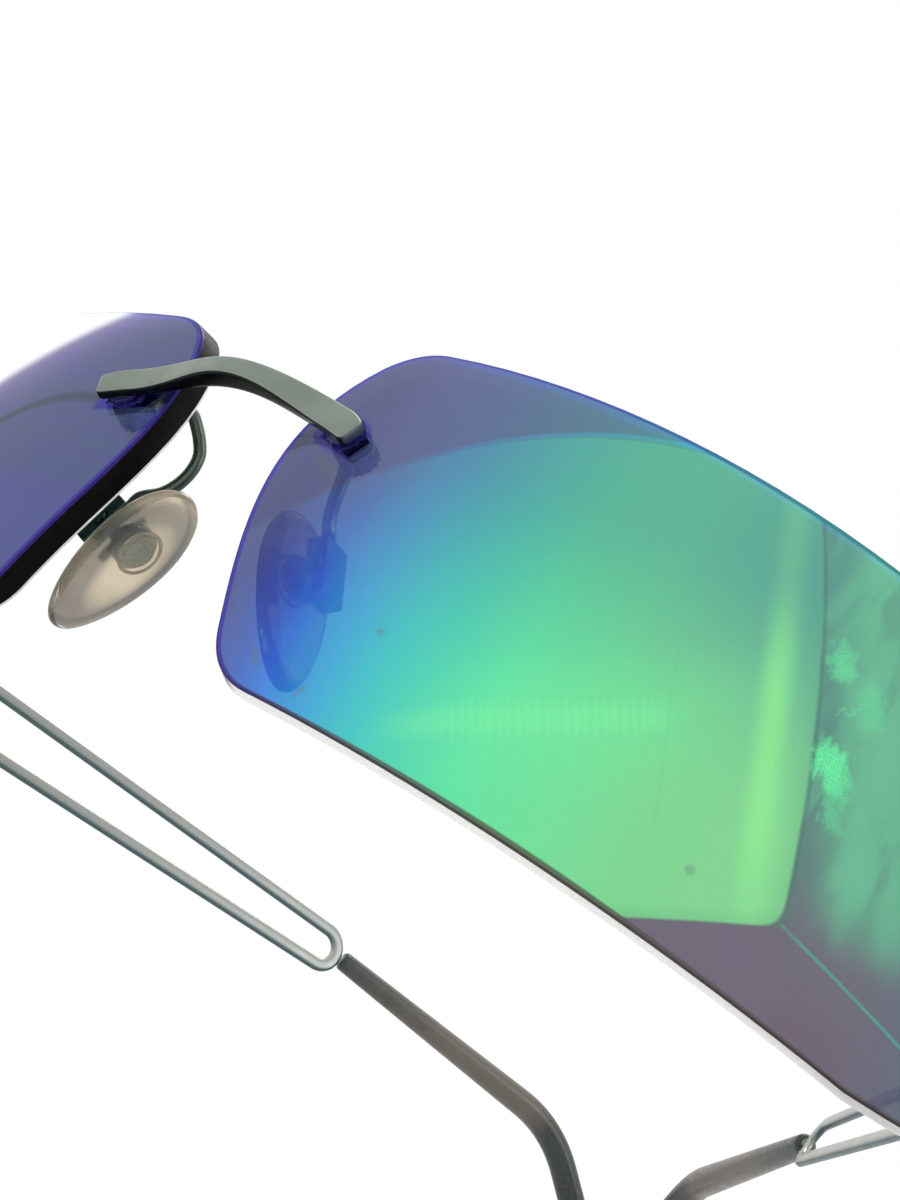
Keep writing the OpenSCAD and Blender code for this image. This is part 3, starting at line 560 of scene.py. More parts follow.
def far_colour(tree, x, z):
    """The nose side of the right lens, a painted reflection in slate and then painted glare: its colour, how far it
    reaches and where it is white with glare.
    """
    slant = line_of(tree, z, 0.6, x)
    colour = ramp(tree, slant, -24, 0, coats(
        (-23, (87, 96, 134)), (-13, (91, 97, 134)), (-9.8, (102, 101, 146)), (-8.3, (111, 106, 154)),
        (-7.3, (120, 114, 160)), (-6.2, (134, 130, 170)), (-5.0, (150, 152, 186))))
    # Painted reflection: a bluer lower part, blue mottling and a dark soft arch near the nose.
    blue = noise(tree, calc(tree, "MULTIPLY", z, 0.4), 0.5, 1.0)
    colour = paint(tree, colour, (88, 92, 156), fade(tree, z, 2, -3), fade(tree, slant, -9, -13), 0.5)
    colour = paint(tree, colour, (92, 88, 150), fade(tree, blue, 0.4, 0.6), fade(tree, slant, -8, -12), 0.25)
    arch = calc(tree, "ADD", x, 22.8)
    arch = less(tree, z, line_of(tree, both(tree, arch, arch), -0.072, 8.5))
    dark = both(tree, fade(tree, arch, -1.2, -0.1), fade(tree, arch, 0.75, 0.1), fade(tree, x, -28, -22, 0.45, 0.75))
    colour = paint(tree, colour, (66, 74, 80), dark, fade(tree, x, -12.5, -15.5))
    # Painted glare where it is white.
    reach = fade(tree, x, 10, 4)
    return colour, reach, both(tree, fade(tree, slant, -6.6, -3.9), reach)


SPECK = (104, 118, 124)


def coating_group():
    """Mirror coating from the lens's own x and z in millimetres: slate at the nose, then blue, cyan and green, partly
    the coating's own colour and partly painted reflection, with a painted reflection of a bright field, painted glare
    and a painted line along the outline.
    """
    if "mirror_coating" in bpy.data.node_groups:
        return bpy.data.node_groups["mirror_coating"]
    tree, given, out = group(
        "mirror_coating",
        [("Place", "NodeSocketVector", None), ("Rim", "NodeSocketFloat", 0.0), ("Shift", "NodeSocketFloat", 0.0),
         ("Glare", "NodeSocketFloat", 0.0)],
        [("Colour", "NodeSocketColor"), ("Glow", "NodeSocketColor"), ("Rough", "NodeSocketFloat"),
         ("Normal", "NodeSocketVector")],
    )
    glare = given["Glare"]
    real_x, z = parts_of(tree, given["Place"])[:2]
    x = less(tree, real_x, given["Shift"])
    joined = node(tree, "ShaderNodeCombineXYZ")
    fill(tree, joined.inputs, {0: x, 1: z})
    flat = joined.outputs[0]

    upper = ramp(tree, x, -32, 30, coats(
        (-30, (85, 88, 128)), (-25, (86, 91, 132)), (-20, (96, 104, 146)), (-14, (92, 114, 149)),
        (-6, (88, 132, 147)), (0, (74, 150, 144)), (6, (84, 160, 143)), (18, (84, 140, 140)), (28, (84, 116, 130))))
    # The painted reflection of a bright field ends at an arc above, at a bent edge further out and at a line below.
    arc = less(tree, line_of(tree, x, 0.1462, 17.16), both(tree, x, x, 0.01739))
    over = less(tree, z, less(tree, arc, 0.3))
    edge = less(tree, line_of(tree, z, -0.2943, 14.99), both(tree, z, z, 0.00443))
    past = less(tree, x, edge)
    under = less(tree, line_of(tree, x, 0.448, -20.16), z)
    corner = calc(tree, "SMOOTH_MAX", past, under, 2.2)

    # Painted reflection inside and beyond the bright field, with painted lines along its edges.
    inside = inner_colour(tree, x, z)
    inside = paint(tree, inside, (88, 168, 130), fade(tree, corner, -1.1, -0.1, 0.0, 0.25))
    colour = mix(tree, fade(tree, corner, -0.16, 0.16), inside, painted_fold_reflections(tree, x, z, flat))
    colour = paint(tree, colour, (72, 126, 104), fade(tree, away(tree, corner, 0.22), 0.22, 0.04, 0.0, 0.5))
    colour = paint(tree, colour, (113, 106, 121), fade(tree, under, -0.1, 0.25), fade(tree, past, 1.6, -0.4))
    colour = mix(tree, fade(tree, over, -0.14, 0.14), colour, upper)
    colour = paint(tree, colour, (60, 130, 120), fade(tree, away(tree, over, -0.1), 0.14, 0.02, 0.0, 0.3))
    # Painted reflection: a coloured line along the arc.
    rim = both(tree, fade(tree, over, -0.04, 0.1), fade(tree, over, 0.6, 0.3), fade(tree, x, -22, -6, 0.14, 0.6),
               less(tree, 1.0, glare))
    colour = mix(tree, rim, colour, ramp(tree, x, -24, 8, coats(
        (-22, (76, 128, 196)), (-10, (70, 160, 196)), (0, (72, 184, 182)), (8, (50, 180, 150)))))
    # Faint specks and smears.
    for middle, sizes, tilt, share, tone in (
            ((-24.8, 6.0), (3.6, 0.7), -30, 0.35, (98, 106, 108)), ((-21.6, -9.8), (1.3, 0.45), -55, 0.42, SPECK),
            ((-13.7, -5.5), (0.45, 0.4), 0, 0.42, SPECK), ((-17.1, -11.1), (0.9, 0.3), 60, 0.42, SPECK),
            ((11.6, -11.7), (0.5, 0.45), 0, 0.42, SPECK)):
        colour = paint(tree, colour, tone, oval(tree, x, z, middle, sizes, tilt), share)
    # Painted reflection and painted glare on the nose side of the right lens.
    far, reach, white = far_colour(tree, real_x, z)
    colour = mix(tree, both(tree, reach, glare), colour, far)
    white = both(tree, white, glare)
    # Painted reflection along the outline: indigo to green along the top, brown-grey below.
    top = ramp(tree, real_x, -28, 28, coats((-26, (58, 44, 146)), (-10, (52, 58, 150)), (0, (30, 96, 138)),
                                            (8, (16, 128, 116)), (24, (14, 130, 96))))
    low = ramp(tree, real_x, -28, 28, coats((-24, (58, 44, 146)), (-19, (72, 68, 112)), (-12, (86, 90, 92)),
                                            (0, (88, 84, 78)), (24, (92, 84, 84))))
    line = both(tree, fade(tree, given["Rim"], 0.25, 0.6, 0.0, 0.92), less(tree, 1.0, white))
    colour = mix(tree, line, colour, mix(tree, fade(tree, z, -11, -6), low, top))
    fine = noise(tree, flat, 7.0, 2.0, 0.7)
    fill(tree, out, {
        "Colour": paint(tree, colour, (70, 90, 110), fade(tree, fine, 0.3, 0.7, 0.0, 0.05)),
        # Painted glare: the white part glows.
        "Glow": mix(tree, white, BLACK, (0.72, 0.7, 0.55, 1)),
        "Rough": fade(tree, noise(tree, flat, 0.12, 3.0), 0.4, 0.75, 0.02, 0.06),
        "Normal": bump_of(tree, noise(tree, flat, 0.5, 2.0), 0.05, FINE),
    })
    return tree


def lens_front_material(name, far, glare):
    made, tree, shader = new_material(name)
    coating = use_group(tree, coating_group(), Place=lens_place(tree), Rim=attribute(tree, "along"), Shift=far,
                        Glare=glare)
    back = node(tree, "ShaderNodeNewGeometry").outputs["Backfacing"]
    fill(tree, shader, {
        "Base Color": coating["Colour"],
        "Roughness": coating["Rough"],
        "Normal": coating["Normal"],
        "Metallic": COAT,
        "Transmission Weight": 1.0,
        "IOR": LENS_IOR,
        # Painted glare glows from the front of the lens.
        "Emission Color": mix(tree, back, coating["Glow"], BLACK),
        "Emission Strength": 1.0 if glare else 0.0,
    })
    return made


def lens_back_material():
    made, tree, shader = new_material("lens_back")
    fill(tree, shader, {
        "Base Color": mix(tree, worn(tree, 60, 3.0, 0.35, 0.7), shade(BACK, 0.97), shade(BACK, 1.0)),
        "Roughness": worn(tree, 900, 3.0, 0.5, 0.8, 0.0, 0.04),
        "Transmission Weight": 1.0,
        "IOR": LENS_IOR,
    })
    return made


def clear_from_inside(made):
    """Lets light that comes through the lens pass its edge."""
    see_through(made.node_tree, node(made.node_tree, "ShaderNodeNewGeometry").outputs["Backfacing"])
    return made


def lens_wall_material(name, nose, pale):
    """Ground edge: nearly black at the nose, which is painted shade, and pale frosted elsewhere, with a painted glow
    that keeps it light.
    """
    made, tree, shader = new_material(name)
    x, z = parts_of(tree, lens_place(tree))[:2]
    at_nose = fade(tree, line_of(tree, z, -0.5, x), -16, -18)
    ground = worn(tree, 700, 3.0, 0.4, 0.75)
    dark = mix(tree, ground, nose, shade(nose, 1.8))
    light = mix(tree, ground, pale, shade(pale, 0.94))
    fill(tree, shader, {
        "Base Color": mix(tree, at_nose, light, dark),
        "Roughness": worn(tree, 1800, least=0.3, most=0.45),
        "Specular IOR Level": 0.06,
        # Painted glow on the pale edge, none at the nose.
        "Emission Color": mix(tree, at_nose, grey(0.24), BLACK),
        "Emission Strength": 1.0,
    })
    return clear_from_inside(made)


def lens_rim_material():
    """The eased front rim, coloured as a painted reflection: indigo at the nose and along the top, then green, and
    brown-grey below.
    """
    made, tree, shader = new_material("lens_rim")
    x, z = parts_of(tree, lens_place(tree))[:2]
    top = ramp(tree, x, -30, 36, [(-26, srgb(50, 36, 128)), (-8, srgb(44, 50, 128)), (6, srgb(14, 112, 104)),
                                  (30, srgb(16, 118, 88))])
    low = ramp(tree, x, -30, 36, [(-24, srgb(50, 36, 128)), (-16, srgb(70, 70, 90)), (0, srgb(88, 82, 76)),
                                  (30, srgb(92, 82, 84))])
    tone = mix(tree, fade(tree, z, -11, -6), low, top)
    fill(tree, shader, {
        "Base Color": mix(tree, worn(tree, 900, 3.0, 0.45, 0.75, most=0.15), tone, srgb(90, 88, 96)),
        "Roughness": worn(tree, 1800, least=0.16, most=0.26),
        "Specular IOR Level": 0.12,
    })
    return clear_from_inside(made)


# ---------------------------------------------------------------- lens

LENS_W, NOSE_H, OUTER_H, DROOP, FOOT = 58.7, 31.7, 29.4, 9.3, 0.12
SWELLS, LEANS, ROUNDS = (1.9, 2.0, 0.0, 4.8), (0, 0, 0, 0.44), (2.6, 6.0, 9.0, 3.5)
NOSE_SHARE, NOSE_MID_SHARE = 0.419, 0.436
LENS_RINGS, RIM_LINE = 22, 0.66
LENS_MIDDLE = (3.5, 0, -1.2)
BEVEL_STEPS = 3
CUTTER_PAST, CUTTER_COUNT = 1.0, 48
FRONT, BEHIND, WALL, FRONT_RIM, BACK_RIM = range(5)
# A face of the wall spans this share of the thickness. A face of a ball lies this close to it and faces this way.
WALL_SHARE, BALL_SLACK, BALL_FACING = 0.3, 0.005, 0.95


def lens_outline(side_steps=20, corner_steps=12):
    """The outline across the optical axis: four swelling sides and four rounded corners."""
    nose_x, nose_z = -LENS_W * NOSE_SHARE, DROOP * NOSE_MID_SHARE
    outer_x, outer_z = LENS_W + nose_x, nose_z - DROOP
    corners = [Vector((nose_x, 0, nose_z + NOSE_H / 2)), Vector((outer_x, 0, outer_z + OUTER_H / 2)),
               Vector((outer_x, 0, outer_z - OUTER_H / 2)), Vector((nose_x, 0, nose_z - NOSE_H / 2))]
    lengths = [(corners[(i + 1) % 4] - corners[i]).length for i in range(4)]

    def point(i, t):
        side = corners[(i + 1) % 4] - corners[i]
        out = Vector((-side.z, 0, side.x)) / lengths[i]
        return corners[i] + side * t + out * (SWELLS[i] * 4 * t * (1 - t) * (1 + LEANS[i] * (2 * t - 1)))

    line = []
    for i in range(4):
        j = (i + 1) % 4
        start, end = ROUNDS[i] / lengths[i], 1 - ROUNDS[j] / lengths[i]
        line += [point(i, start + (end - start) * k / side_steps) for k in range(side_steps + 1)]
        a, b = point(i, end), point(j, ROUNDS[j] / lengths[j])
        for t in (k / corner_steps for k in range(1, corner_steps)):
            line.append(a * (1 - t) ** 2 + corners[j] * 2 * t * (1 - t) + b * t * t)
    low = min(p.z for p in line) + FOOT
    return [Vector((p.x, 0, max(p.z, low))) for p in line]


def onto_ball(verts, radius):
    for vert in verts:
        vert.co.y = LENS_R - math.sqrt(radius**2 - vert.co.x**2 - vert.co.z**2)


def lens_shell(front_bevel, back_bevel):
    """A ring on the outline grows inwards to a sheet, a copy backs it, and their rims are bridged and bevelled."""
    bm = new_mesh()
    line = lens_outline()
    ring, edges = unit_ring(bm, len(line))
    for vert, spot in zip(sorted(ring, key=lambda v: -math.atan2(v.co.y, v.co.x)), line):
        vert.co = spot
    middle = Vector(LENS_MIDDLE)
    for left in range(LENS_RINGS + 1, 1, -1):
        ring, edges = grow(bm, edges)
        if left > LENS_RINGS:
            for vert in ring:
                vert.co += (middle - vert.co).normalized() * RIM_LINE
        else:
            inwards = (left - 1) / left
            bmesh.ops.scale(bm, vec=(inwards, 1, inwards), verts=ring, space=Matrix.Translation(-middle))
    bmesh.ops.poke(bm, faces=bmesh.ops.edgeloop_fill(bm, edges=edges)["faces"])
    back = bmesh.ops.duplicate(bm, geom=bm.verts[:] + bm.edges[:] + bm.faces[:])["geom"]
    back = {item for item in back if isinstance(item, bmesh.types.BMVert)}
    onto_ball([vert for vert in bm.verts if vert not in back], LENS_R)
    onto_ball(back, LENS_R - LENS_T)
    wall = set(bmesh.ops.bridge_loops(bm, edges=[edge for edge in bm.edges if edge.is_boundary])["faces"])
    bmesh.ops.recalc_face_normals(bm, faces=bm.faces)
    rims = [edge for edge in bm.edges if len(wall.intersection(edge.link_faces)) == 1]
    for width, rim in ((front_bevel, [edge for edge in rims if not back.issuperset(edge.verts)]),
                       (back_bevel, [edge for edge in rims if back.issuperset(edge.verts)])):
        bmesh.ops.bevel(bm, geom=rim, offset=width, offset_type="OFFSET", segments=BEVEL_STEPS, profile=0.5,
                        affect="EDGES", material=-1, clamp_overlap=True)
    return bm


def bore(obj, label):
    """Cuts the three post holes with cutters that are then dropped."""
    bm = new_mesh()
    for spot in (BRIDGE_SPOT,) + HINGE_SPOTS:
        ends = [(BUSH_R + SEAT, y) for y in (-CUTTER_PAST, LENS_T + CUTTER_PAST)]
        turned(bm, on_lens(*spot), ends, CUTTER_COUNT)
    cutter = new_object("cutter", bm, half(label), sharp=30)
    cut = obj.modifiers.new("holes", "BOOLEAN")
    cut.operation, cut.solver, cut.object = "DIFFERENCE", "EXACT", cutter
    bpy.context.view_layer.update()
    result = bpy.data.meshes.new_from_object(obj.evaluated_get(bpy.context.evaluated_depsgraph_get()))
    obj.modifiers.remove(cut)
    spare = (obj.data, cutter.data)
    obj.data = result
    bpy.data.objects.remove(cutter)
    for mesh in spare:
        bpy.data.meshes.remove(mesh)


def finish_lens(mesh, label):
    """Sorts the faces into front, back and edge, maps lens x and z, and gives both balls their true normals."""
    back_to_lens = (half(label) @ LENS).inverted()
    middle = Vector((0, LENS_R, 0))
    local = [back_to_lens @ vert.co for vert in mesh.vertices]
    turn_back = (half(label) @ LENS).to_3x3()
    uv = (mesh.uv_layers.get("lens_map") or mesh.uv_layers.new(name="lens_map")).data
    normals = [Vector((0, 0, 0))] * len(mesh.loops)
    for poly in mesh.polygons:
        spots = [local[index] - middle for index in poly.vertices]
        facing = abs((turn_back @ spots[0]).normalized().dot(poly.normal))
        outer, inner = max(spot.length for spot in spots), min(spot.length for spot in spots)
        if outer - inner > LENS_T * WALL_SHARE:
            poly.material_index = WALL
        else:
            poly.material_index = FRONT_RIM if outer + inner > 2 * LENS_R - LENS_T else BACK_RIM
        for index, radius, way in ((FRONT, LENS_R, 1), (BEHIND, LENS_R - LENS_T, -1)):
            on_ball = all(abs(spot.length - radius) < BALL_SLACK for spot in spots)
            if on_ball and facing > BALL_FACING:
                poly.material_index = index
                for loop, spot in zip(poly.loop_indices, spots):
                    normals[loop] = (turn_back @ spot).normalized() * way
        for loop, index in zip(poly.loop_indices, poly.vertices):
            uv[loop].uv = [(place + MAP_HALF) / (2 * MAP_HALF) for place in (local[index].x, local[index].z)]
    rim = {index for poly in mesh.polygons if poly.material_index > WALL for index in poly.vertices}
    along = mesh.attributes.get("along") or mesh.attributes.new("along", "FLOAT", "POINT")
    for index, item in enumerate(along.data):
        item.value = 1.0 if index in rim else 0.0
    mesh.normals_split_custom_set(normals)


def build_lens(label, finishes, front_bevel, back_bevel):
    obj = new_object(f"lens_{label}_shell", lens_shell(front_bevel, back_bevel), half(label) @ LENS, sharp=60)
    bore(obj, label)
    finish_lens(obj.data, label)
    settle(obj, finishes, "front", "lens", f"lens_{label}")


# ---------------------------------------------------------------- bridge

BRIDGE_PAST, BRIDGE_RISE, BRIDGE_BOW, BRIDGE_POWER = 1.7, 2.9, 1.5, 2.1
BRIDGE_END_H, BRIDGE_END_T, BRIDGE_MID_H, BRIDGE_MID_T = 2.5, 1.05, 1.95, 1.9
BRIDGE_TIP_L, BRIDGE_TIP_DROP, BRIDGE_TIP_THINNER = 1.9, 0.13, 0.2
BRIDGE_STEPS, BRIDGE_TIP_STEPS, BRIDGE_COUNT = 150, 8, 56


def bridge_station(t, size):
    """The bar's frame at a share t of its half length: flat along the washer outside, bowed out in the middle."""
    end = POST @ Vector((0, -WASHER_T - SEAT - BRIDGE_END_T / 2, 0))
    side = POST.to_3x3() @ Vector((1, 0, 0))
    post_yaw = math.atan2(side.y, side.x)
    lean = math.asin(BRIDGE_SPOT[1] / LENS_R)
    reach = end.x + BRIDGE_PAST
    flat = (end.x - NUT_R) / reach
    q = abs(t)
    b = (1 - math.cos(math.pi * min(q / flat, 1))) / 2
    rise = BRIDGE_RISE * ((end.x / reach) ** BRIDGE_POWER - q**BRIDGE_POWER)
    yaw = post_yaw * b
    across = Vector((math.cos(yaw), math.sin(yaw), 0))
    inwards = Vector((-math.sin(yaw) * math.cos(lean), math.cos(yaw) * math.cos(lean), -math.sin(lean)))
    roll = math.atan(BRIDGE_RISE * BRIDGE_POWER * q ** (BRIDGE_POWER - 1) / reach)
    up = across * math.sin(roll) + across.cross(inwards) * math.cos(roll)
    at = Vector((q * reach,
                 end.y + (max(q, flat) * reach - end.x) * math.tan(post_yaw)
                 + rise * math.tan(lean) / math.cos(post_yaw) - BRIDGE_BOW * (1 - b),
                 end.z + rise))
    deep = (BRIDGE_MID_T + (BRIDGE_END_T - BRIDGE_MID_T) * b) * size
    high = (BRIDGE_MID_H + (BRIDGE_END_H - BRIDGE_MID_H) * b) * size
    made = placed(inwards * deep / 2, up * high / 2, at)
    lowered = BRIDGE_TIP_DROP * max(0.0, 1 - (1 - q) * reach / BRIDGE_TIP_L) ** 2
    made = made @ shift(0, -lowered, 0) @ Matrix.Diagonal((1, 1 - lowered, 1, 1))
    return Matrix.Diagonal((math.copysign(1, t), 1, 1, 1)) @ made


def build_bridge(finish, square, tip_round):
    bm = new_mesh()
    reach = (POST @ Vector((0, 0, 0))).x + BRIDGE_PAST
    shares = [2 * i / BRIDGE_STEPS - 1 for i in range(BRIDGE_STEPS + 1)]
    near_tip = [1 - tip_round / reach * (k / BRIDGE_TIP_STEPS) ** 2 for k in range(BRIDGE_TIP_STEPS)]
    shares = [-s for s in near_tip] + [s for s in shares if abs(s) < near_tip[-1] - 0.01] + near_tip[::-1]
    stations = []
    for t in shares:
        gone = max(0.0, 1 - (1 - abs(t)) * reach / tip_round)
        stations.append(bridge_station(t, 1 - BRIDGE_TIP_THINNER * (1 - math.sqrt(1 - gone**2))))
    sweep(bm, stations, BRIDGE_COUNT, soft_oblong(square))
    obj = new_object("bridge_bar", bm, ROW, sharp=50)
    settle(obj, [finish], "front", "metal", "bridge")
    nut_end = LENS_T + rim_drop(TAB_REACH) + EYE_T + NUT_H
    for label in SIDES:
        bm = new_mesh()
        soft_rod(bm, POST, POST_R, -WASHER_T - BRIDGE_END_T / 2, nut_end)
        settle(new_object(f"bridge_post_{label}", bm, half(label), sharp=50), [finish], "front", "metal")


# ---------------------------------------------------------------- nose pads

EYE_T, EYE_EDGE, EYE_NARROWER, ARM_R = 0.5, 0.06, 0.95, 0.55
EYE_COUNT, ARM_STEPS, ARM_COUNT = 72, 150, 28
ARM_TURN = 131
ARM_START = NUT_R + ARM_R + 0.2
TAB_REACH = ARM_START + ARM_R
ARM_IN, ARM_BACK, ARM_RISE = 4.1, 8.1, 2.85
ARM_SHARES = ((0.6, 0.43, 0.97), (0.74, 0.52, 1), (0.84, 0.63, 0.84), (0.93, 0.75, 0.6), (0.99, 0.85, 0.3),
              (0.98, 0.91, -0.16), (0.88, 0.94, -0.68), (0.68, 0.94, -1.18))
BOX_AT, BOX_L = (3.35, -0.8, 1.1), 4.7
PAD_L, PAD_W, PAD_T, PAD_EGG = 15.2, 8.2, 2.1, 0.16
# Shares of the thickness from the face to the back, and of the full outline there.
PAD_DEPTH = ((-0.5, 0.10), (-0.498, 0.25), (-0.485, 0.45), (-0.455, 0.62), (-0.41, 0.76), (-0.34, 0.865),
             (-0.25, 0.935), (-0.13, 0.982), (0.0, 0.999), (0.13, 1.0), (0.25, 0.985), (0.35, 0.955), (0.43, 0.915),
             (0.48, 0.87), (0.5, 0.82))
PAD_COUNT = 80
CORE_FORE, CORE_UP = 0.4, 1.5
# Radius, half width and half height of the plain rings over the core, and how deep they sit.
BOSS_RINGS, BOSS_DEEP = ((1.9, 0.17, 0.1), (1.25, 0.13, 0.08)), 0.11
BOSS_COUNT, BOSS_STEPS = 12, 64
SILICONE_IOR = 1.41


def rim_drop(r):
    """How far the hollow back of a lens stands back at a distance from a post."""
    inner = LENS_R - LENS_T
    return inner - math.sqrt(inner**2 - r * r) + SEAT


def build_pad_arm(label, finish):
    eye_y = LENS_T + rim_drop(TAB_REACH)
    radial = Vector((math.cos(math.radians(ARM_TURN)), 0, math.sin(math.radians(ARM_TURN))))
    points = [POST @ (radial * ARM_START + Vector((0, eye_y + ARM_R, 0)))]
    points += [POST @ Vector((-ARM_IN * a, ARM_BACK * b, ARM_RISE * c)) for a, b, c in ARM_SHARES]
    top = BOX_AT[2] + BOX_L / 2 + SEAT
    points += [PAD @ Vector((BOX_AT[0], BOX_AT[1], top + lead)) for lead in (1.1, 0)]
    bm = new_mesh()
    sweep(bm, wire_stations(points, ARM_R, ARM_STEPS), ARM_COUNT)
    tab = math.radians(ARM_TURN)

    def teardrop(c, s):
        near = max(0.0, math.cos(math.atan2(s, c) - tab)) ** 10
        grown = NUT_R + (TAB_REACH - NUT_R) * near
        return c * grown, s * grown

    eye = [(EYE_NARROWER, eye_y), (1, eye_y + EYE_EDGE), (1, eye_y + EYE_T - EYE_EDGE), (EYE_NARROWER, eye_y + EYE_T)]
    turned(bm, POST, eye, EYE_COUNT, teardrop)
    obj = new_object(f"pad_arm_{label}_wire", bm, half(label), sharp=40)
    settle(obj, [finish], "front", "metal", f"pad_arm_{label}")


def silicone_material(colour, clear):
    """Clear, slightly yellowed silicone, with painted shade that greys it at its rim and along its lower rim."""
    made, tree, shader = new_material("pad_silicone")
    cloud = worn(tree, 230, 2.0, 0.36, 0.66, roughness=0.5)
    tone = mix(tree, cloud, shade(colour, 1.06), shade(colour, 0.84))
    tone = mix(tree, worn(tree, 2600, 2.0, 0.68, 0.76, most=0.4, roughness=0.6), tone, shade(colour, 0.5))
    # Painted shade: grey where the surface turns away at the rim.
    facing = node(tree, "ShaderNodeLayerWeight")
    facing.inputs["Blend"].default_value = 0.25
    tone = mix(tree, fade(tree, facing.outputs["Facing"], 0.5, 0.95, 0.0, 0.75), tone, srgb(120, 120, 116))
    # Painted shade along the lower rim.
    along = attribute(tree, "along")
    down = parts_of(tree, node(tree, "ShaderNodeTexCoord").outputs["Normal"])[2]
    lower_rim_shade = both(tree, fade(tree, along, 0.1, 0.25), fade(tree, along, 0.98, 0.9), fade(tree, down, 0.1, -0.3),
                   0.85)
    fill(tree, shader, {
        "Base Color": mix(tree, lower_rim_shade, tone, srgb(96, 98, 100)),
        "Roughness": worn(tree, 700, 3.0, least=0.06, most=0.16),
        "Normal": bump_of(tree, noise(tree, object_coords(tree), 900, 2.0), 0.08, 2 * FINE),
        "Transmission Weight": clear,
        "IOR": SILICONE_IOR,
    })
    return made


def build_pad(label, finish):
    """The cushion: an egg outline that swells and closes through its thickness."""
    wide, high, through = Vector((0, PAD_W / 2, 0)), Vector((0, 0, PAD_L / 2)), Vector((PAD_T, 0, 0))
    stations = [PAD @ placed(wide * full, high * full, through * x) for x, full in PAD_DEPTH]
    bm = new_mesh()
    sweep(bm, stations, PAD_COUNT, lambda c, s: (c * (1 + PAD_EGG * s), s))
    obj = new_object(f"nose_pad_{label}_cushion", bm, half(label), sharp=60)
    settle(obj, [finish], f"pad_{label}", "pad", f"nose_pad_{label}")


def build_boss(label, finish):
    """Plain raised rings over the core on the face of the pad, each a small circle spun round."""
    bm = new_mesh()
    for reach, wide, high in BOSS_RINGS:
        ring, edges = unit_ring(bm, BOSS_COUNT)
        seat = placed(Vector((0, 0, wide)), Vector((high, 0, 0)), Vector((-PAD_T / 2 + BOSS_DEEP, 0, reach)))
        bmesh.ops.transform(bm, matrix=seat, verts=ring)
        bmesh.ops.spin(bm, geom=ring + edges, cent=(0, 0, 0), axis=(1, 0, 0), angle=math.tau,
                       steps=BOSS_STEPS, use_merge=True)
    bmesh.ops.remove_doubles(bm, verts=bm.verts, dist=0.0001)
    obj = new_object(f"pad_boss_{label}", bm, half(label) @ PAD @ shift(0, -CORE_FORE, CORE_UP), sharp=60)
    settle(obj, [finish], f"pad_{label}", "pad")


def boss_material(colour):
    made, tree, shader = new_material("pad_boss")
    fill(tree, shader, {
        "Base Color": mix(tree, worn(tree, 900, 3.0, 0.35, 0.7), shade(colour, 0.5), shade(colour, 0.72)),
        "Roughness": worn(tree, 2000, least=0.12, most=0.26),
        "Transmission Weight": 0.4,
        "IOR": SILICONE_IOR,
    })
    return made


# ---------------------------------------------------------------- temples

LOOP_FRONT_W, LOOP_BACK_W, WIRE_H, WIRE_T, PLATE_L, SOCKET_L = 7.4, 4.7, 1.6, 0.85, 8.5, 3.0
TIP_STRAIGHT, TIP_BEND, TIP_BEND_R, TIP_LAST = 31.0, 38.0, 16.0, 8.62056
TIP_FRONT_R, TIP_BACK_R, TIP_NOSE = 1.2, 1.7, 0.5
WIRE_SQUARE = 0.7
LEG_STEPS, LOOP_STEPS, WIRE_COUNT = 40, 48, 36
NOSE_STEPS, STRAIGHT_STEPS, BEND_STEPS, LAST_STEPS, END_STEPS, TIP_COUNT = 6, 30, 24, 8, 12, 40
# The rings of the round end stop a little before its pole, which lies at this step.
POLE_STEP = 11.4


def build_wire(label, finish):
    """One flat wire: down a leg, round the bend of the loop and back up the other leg."""
    loop_r = LOOP_BACK_W / 2
    centre = LOOP_L - loop_r - WIRE_H / 2
    run = centre - PLATE_L
    slant = math.hypot(run, LOOP_FRONT_W / 2)
    leg = math.sqrt(slant**2 - loop_r**2) + SOCKET_L
    bend = math.pi / 2 - math.acos(loop_r / slant) + math.atan(2 * run / LOOP_FRONT_W)

    def station(a, back):
        side = math.copysign(1, a)
        at = Vector((0, centre + loop_r * math.cos(a) - back * abs(math.sin(a)),
                     loop_r * math.sin(a) + back * math.cos(a) * side))
        return LOOP @ placed(Vector((WIRE_T / 2, 0, 0)), Vector((0, math.cos(a), math.sin(a))) * WIRE_H / 2, at)

    spots = [(-bend, leg * (1 - k / LEG_STEPS)) for k in range(LEG_STEPS)]
    # The middle of the bend isn't quite 0, which has no side.
    spots += [(bend * (2 * k / LOOP_STEPS - 1) or 1e-6, 0.0) for k in range(LOOP_STEPS + 1)]
    spots += [(bend, leg * k / LEG_STEPS) for k in range(1, LEG_STEPS + 1)]
    bm = new_mesh()
    sweep(bm, [station(a, back) for a, back in spots], WIRE_COUNT, soft_oblong(WIRE_SQUARE))
    obj = new_object(f"temple_wire_{label}_loop", bm, half(label), sharp=60)
    settle(obj, [finish], f"temple_{label}", "metal", f"temple_wire_{label}")


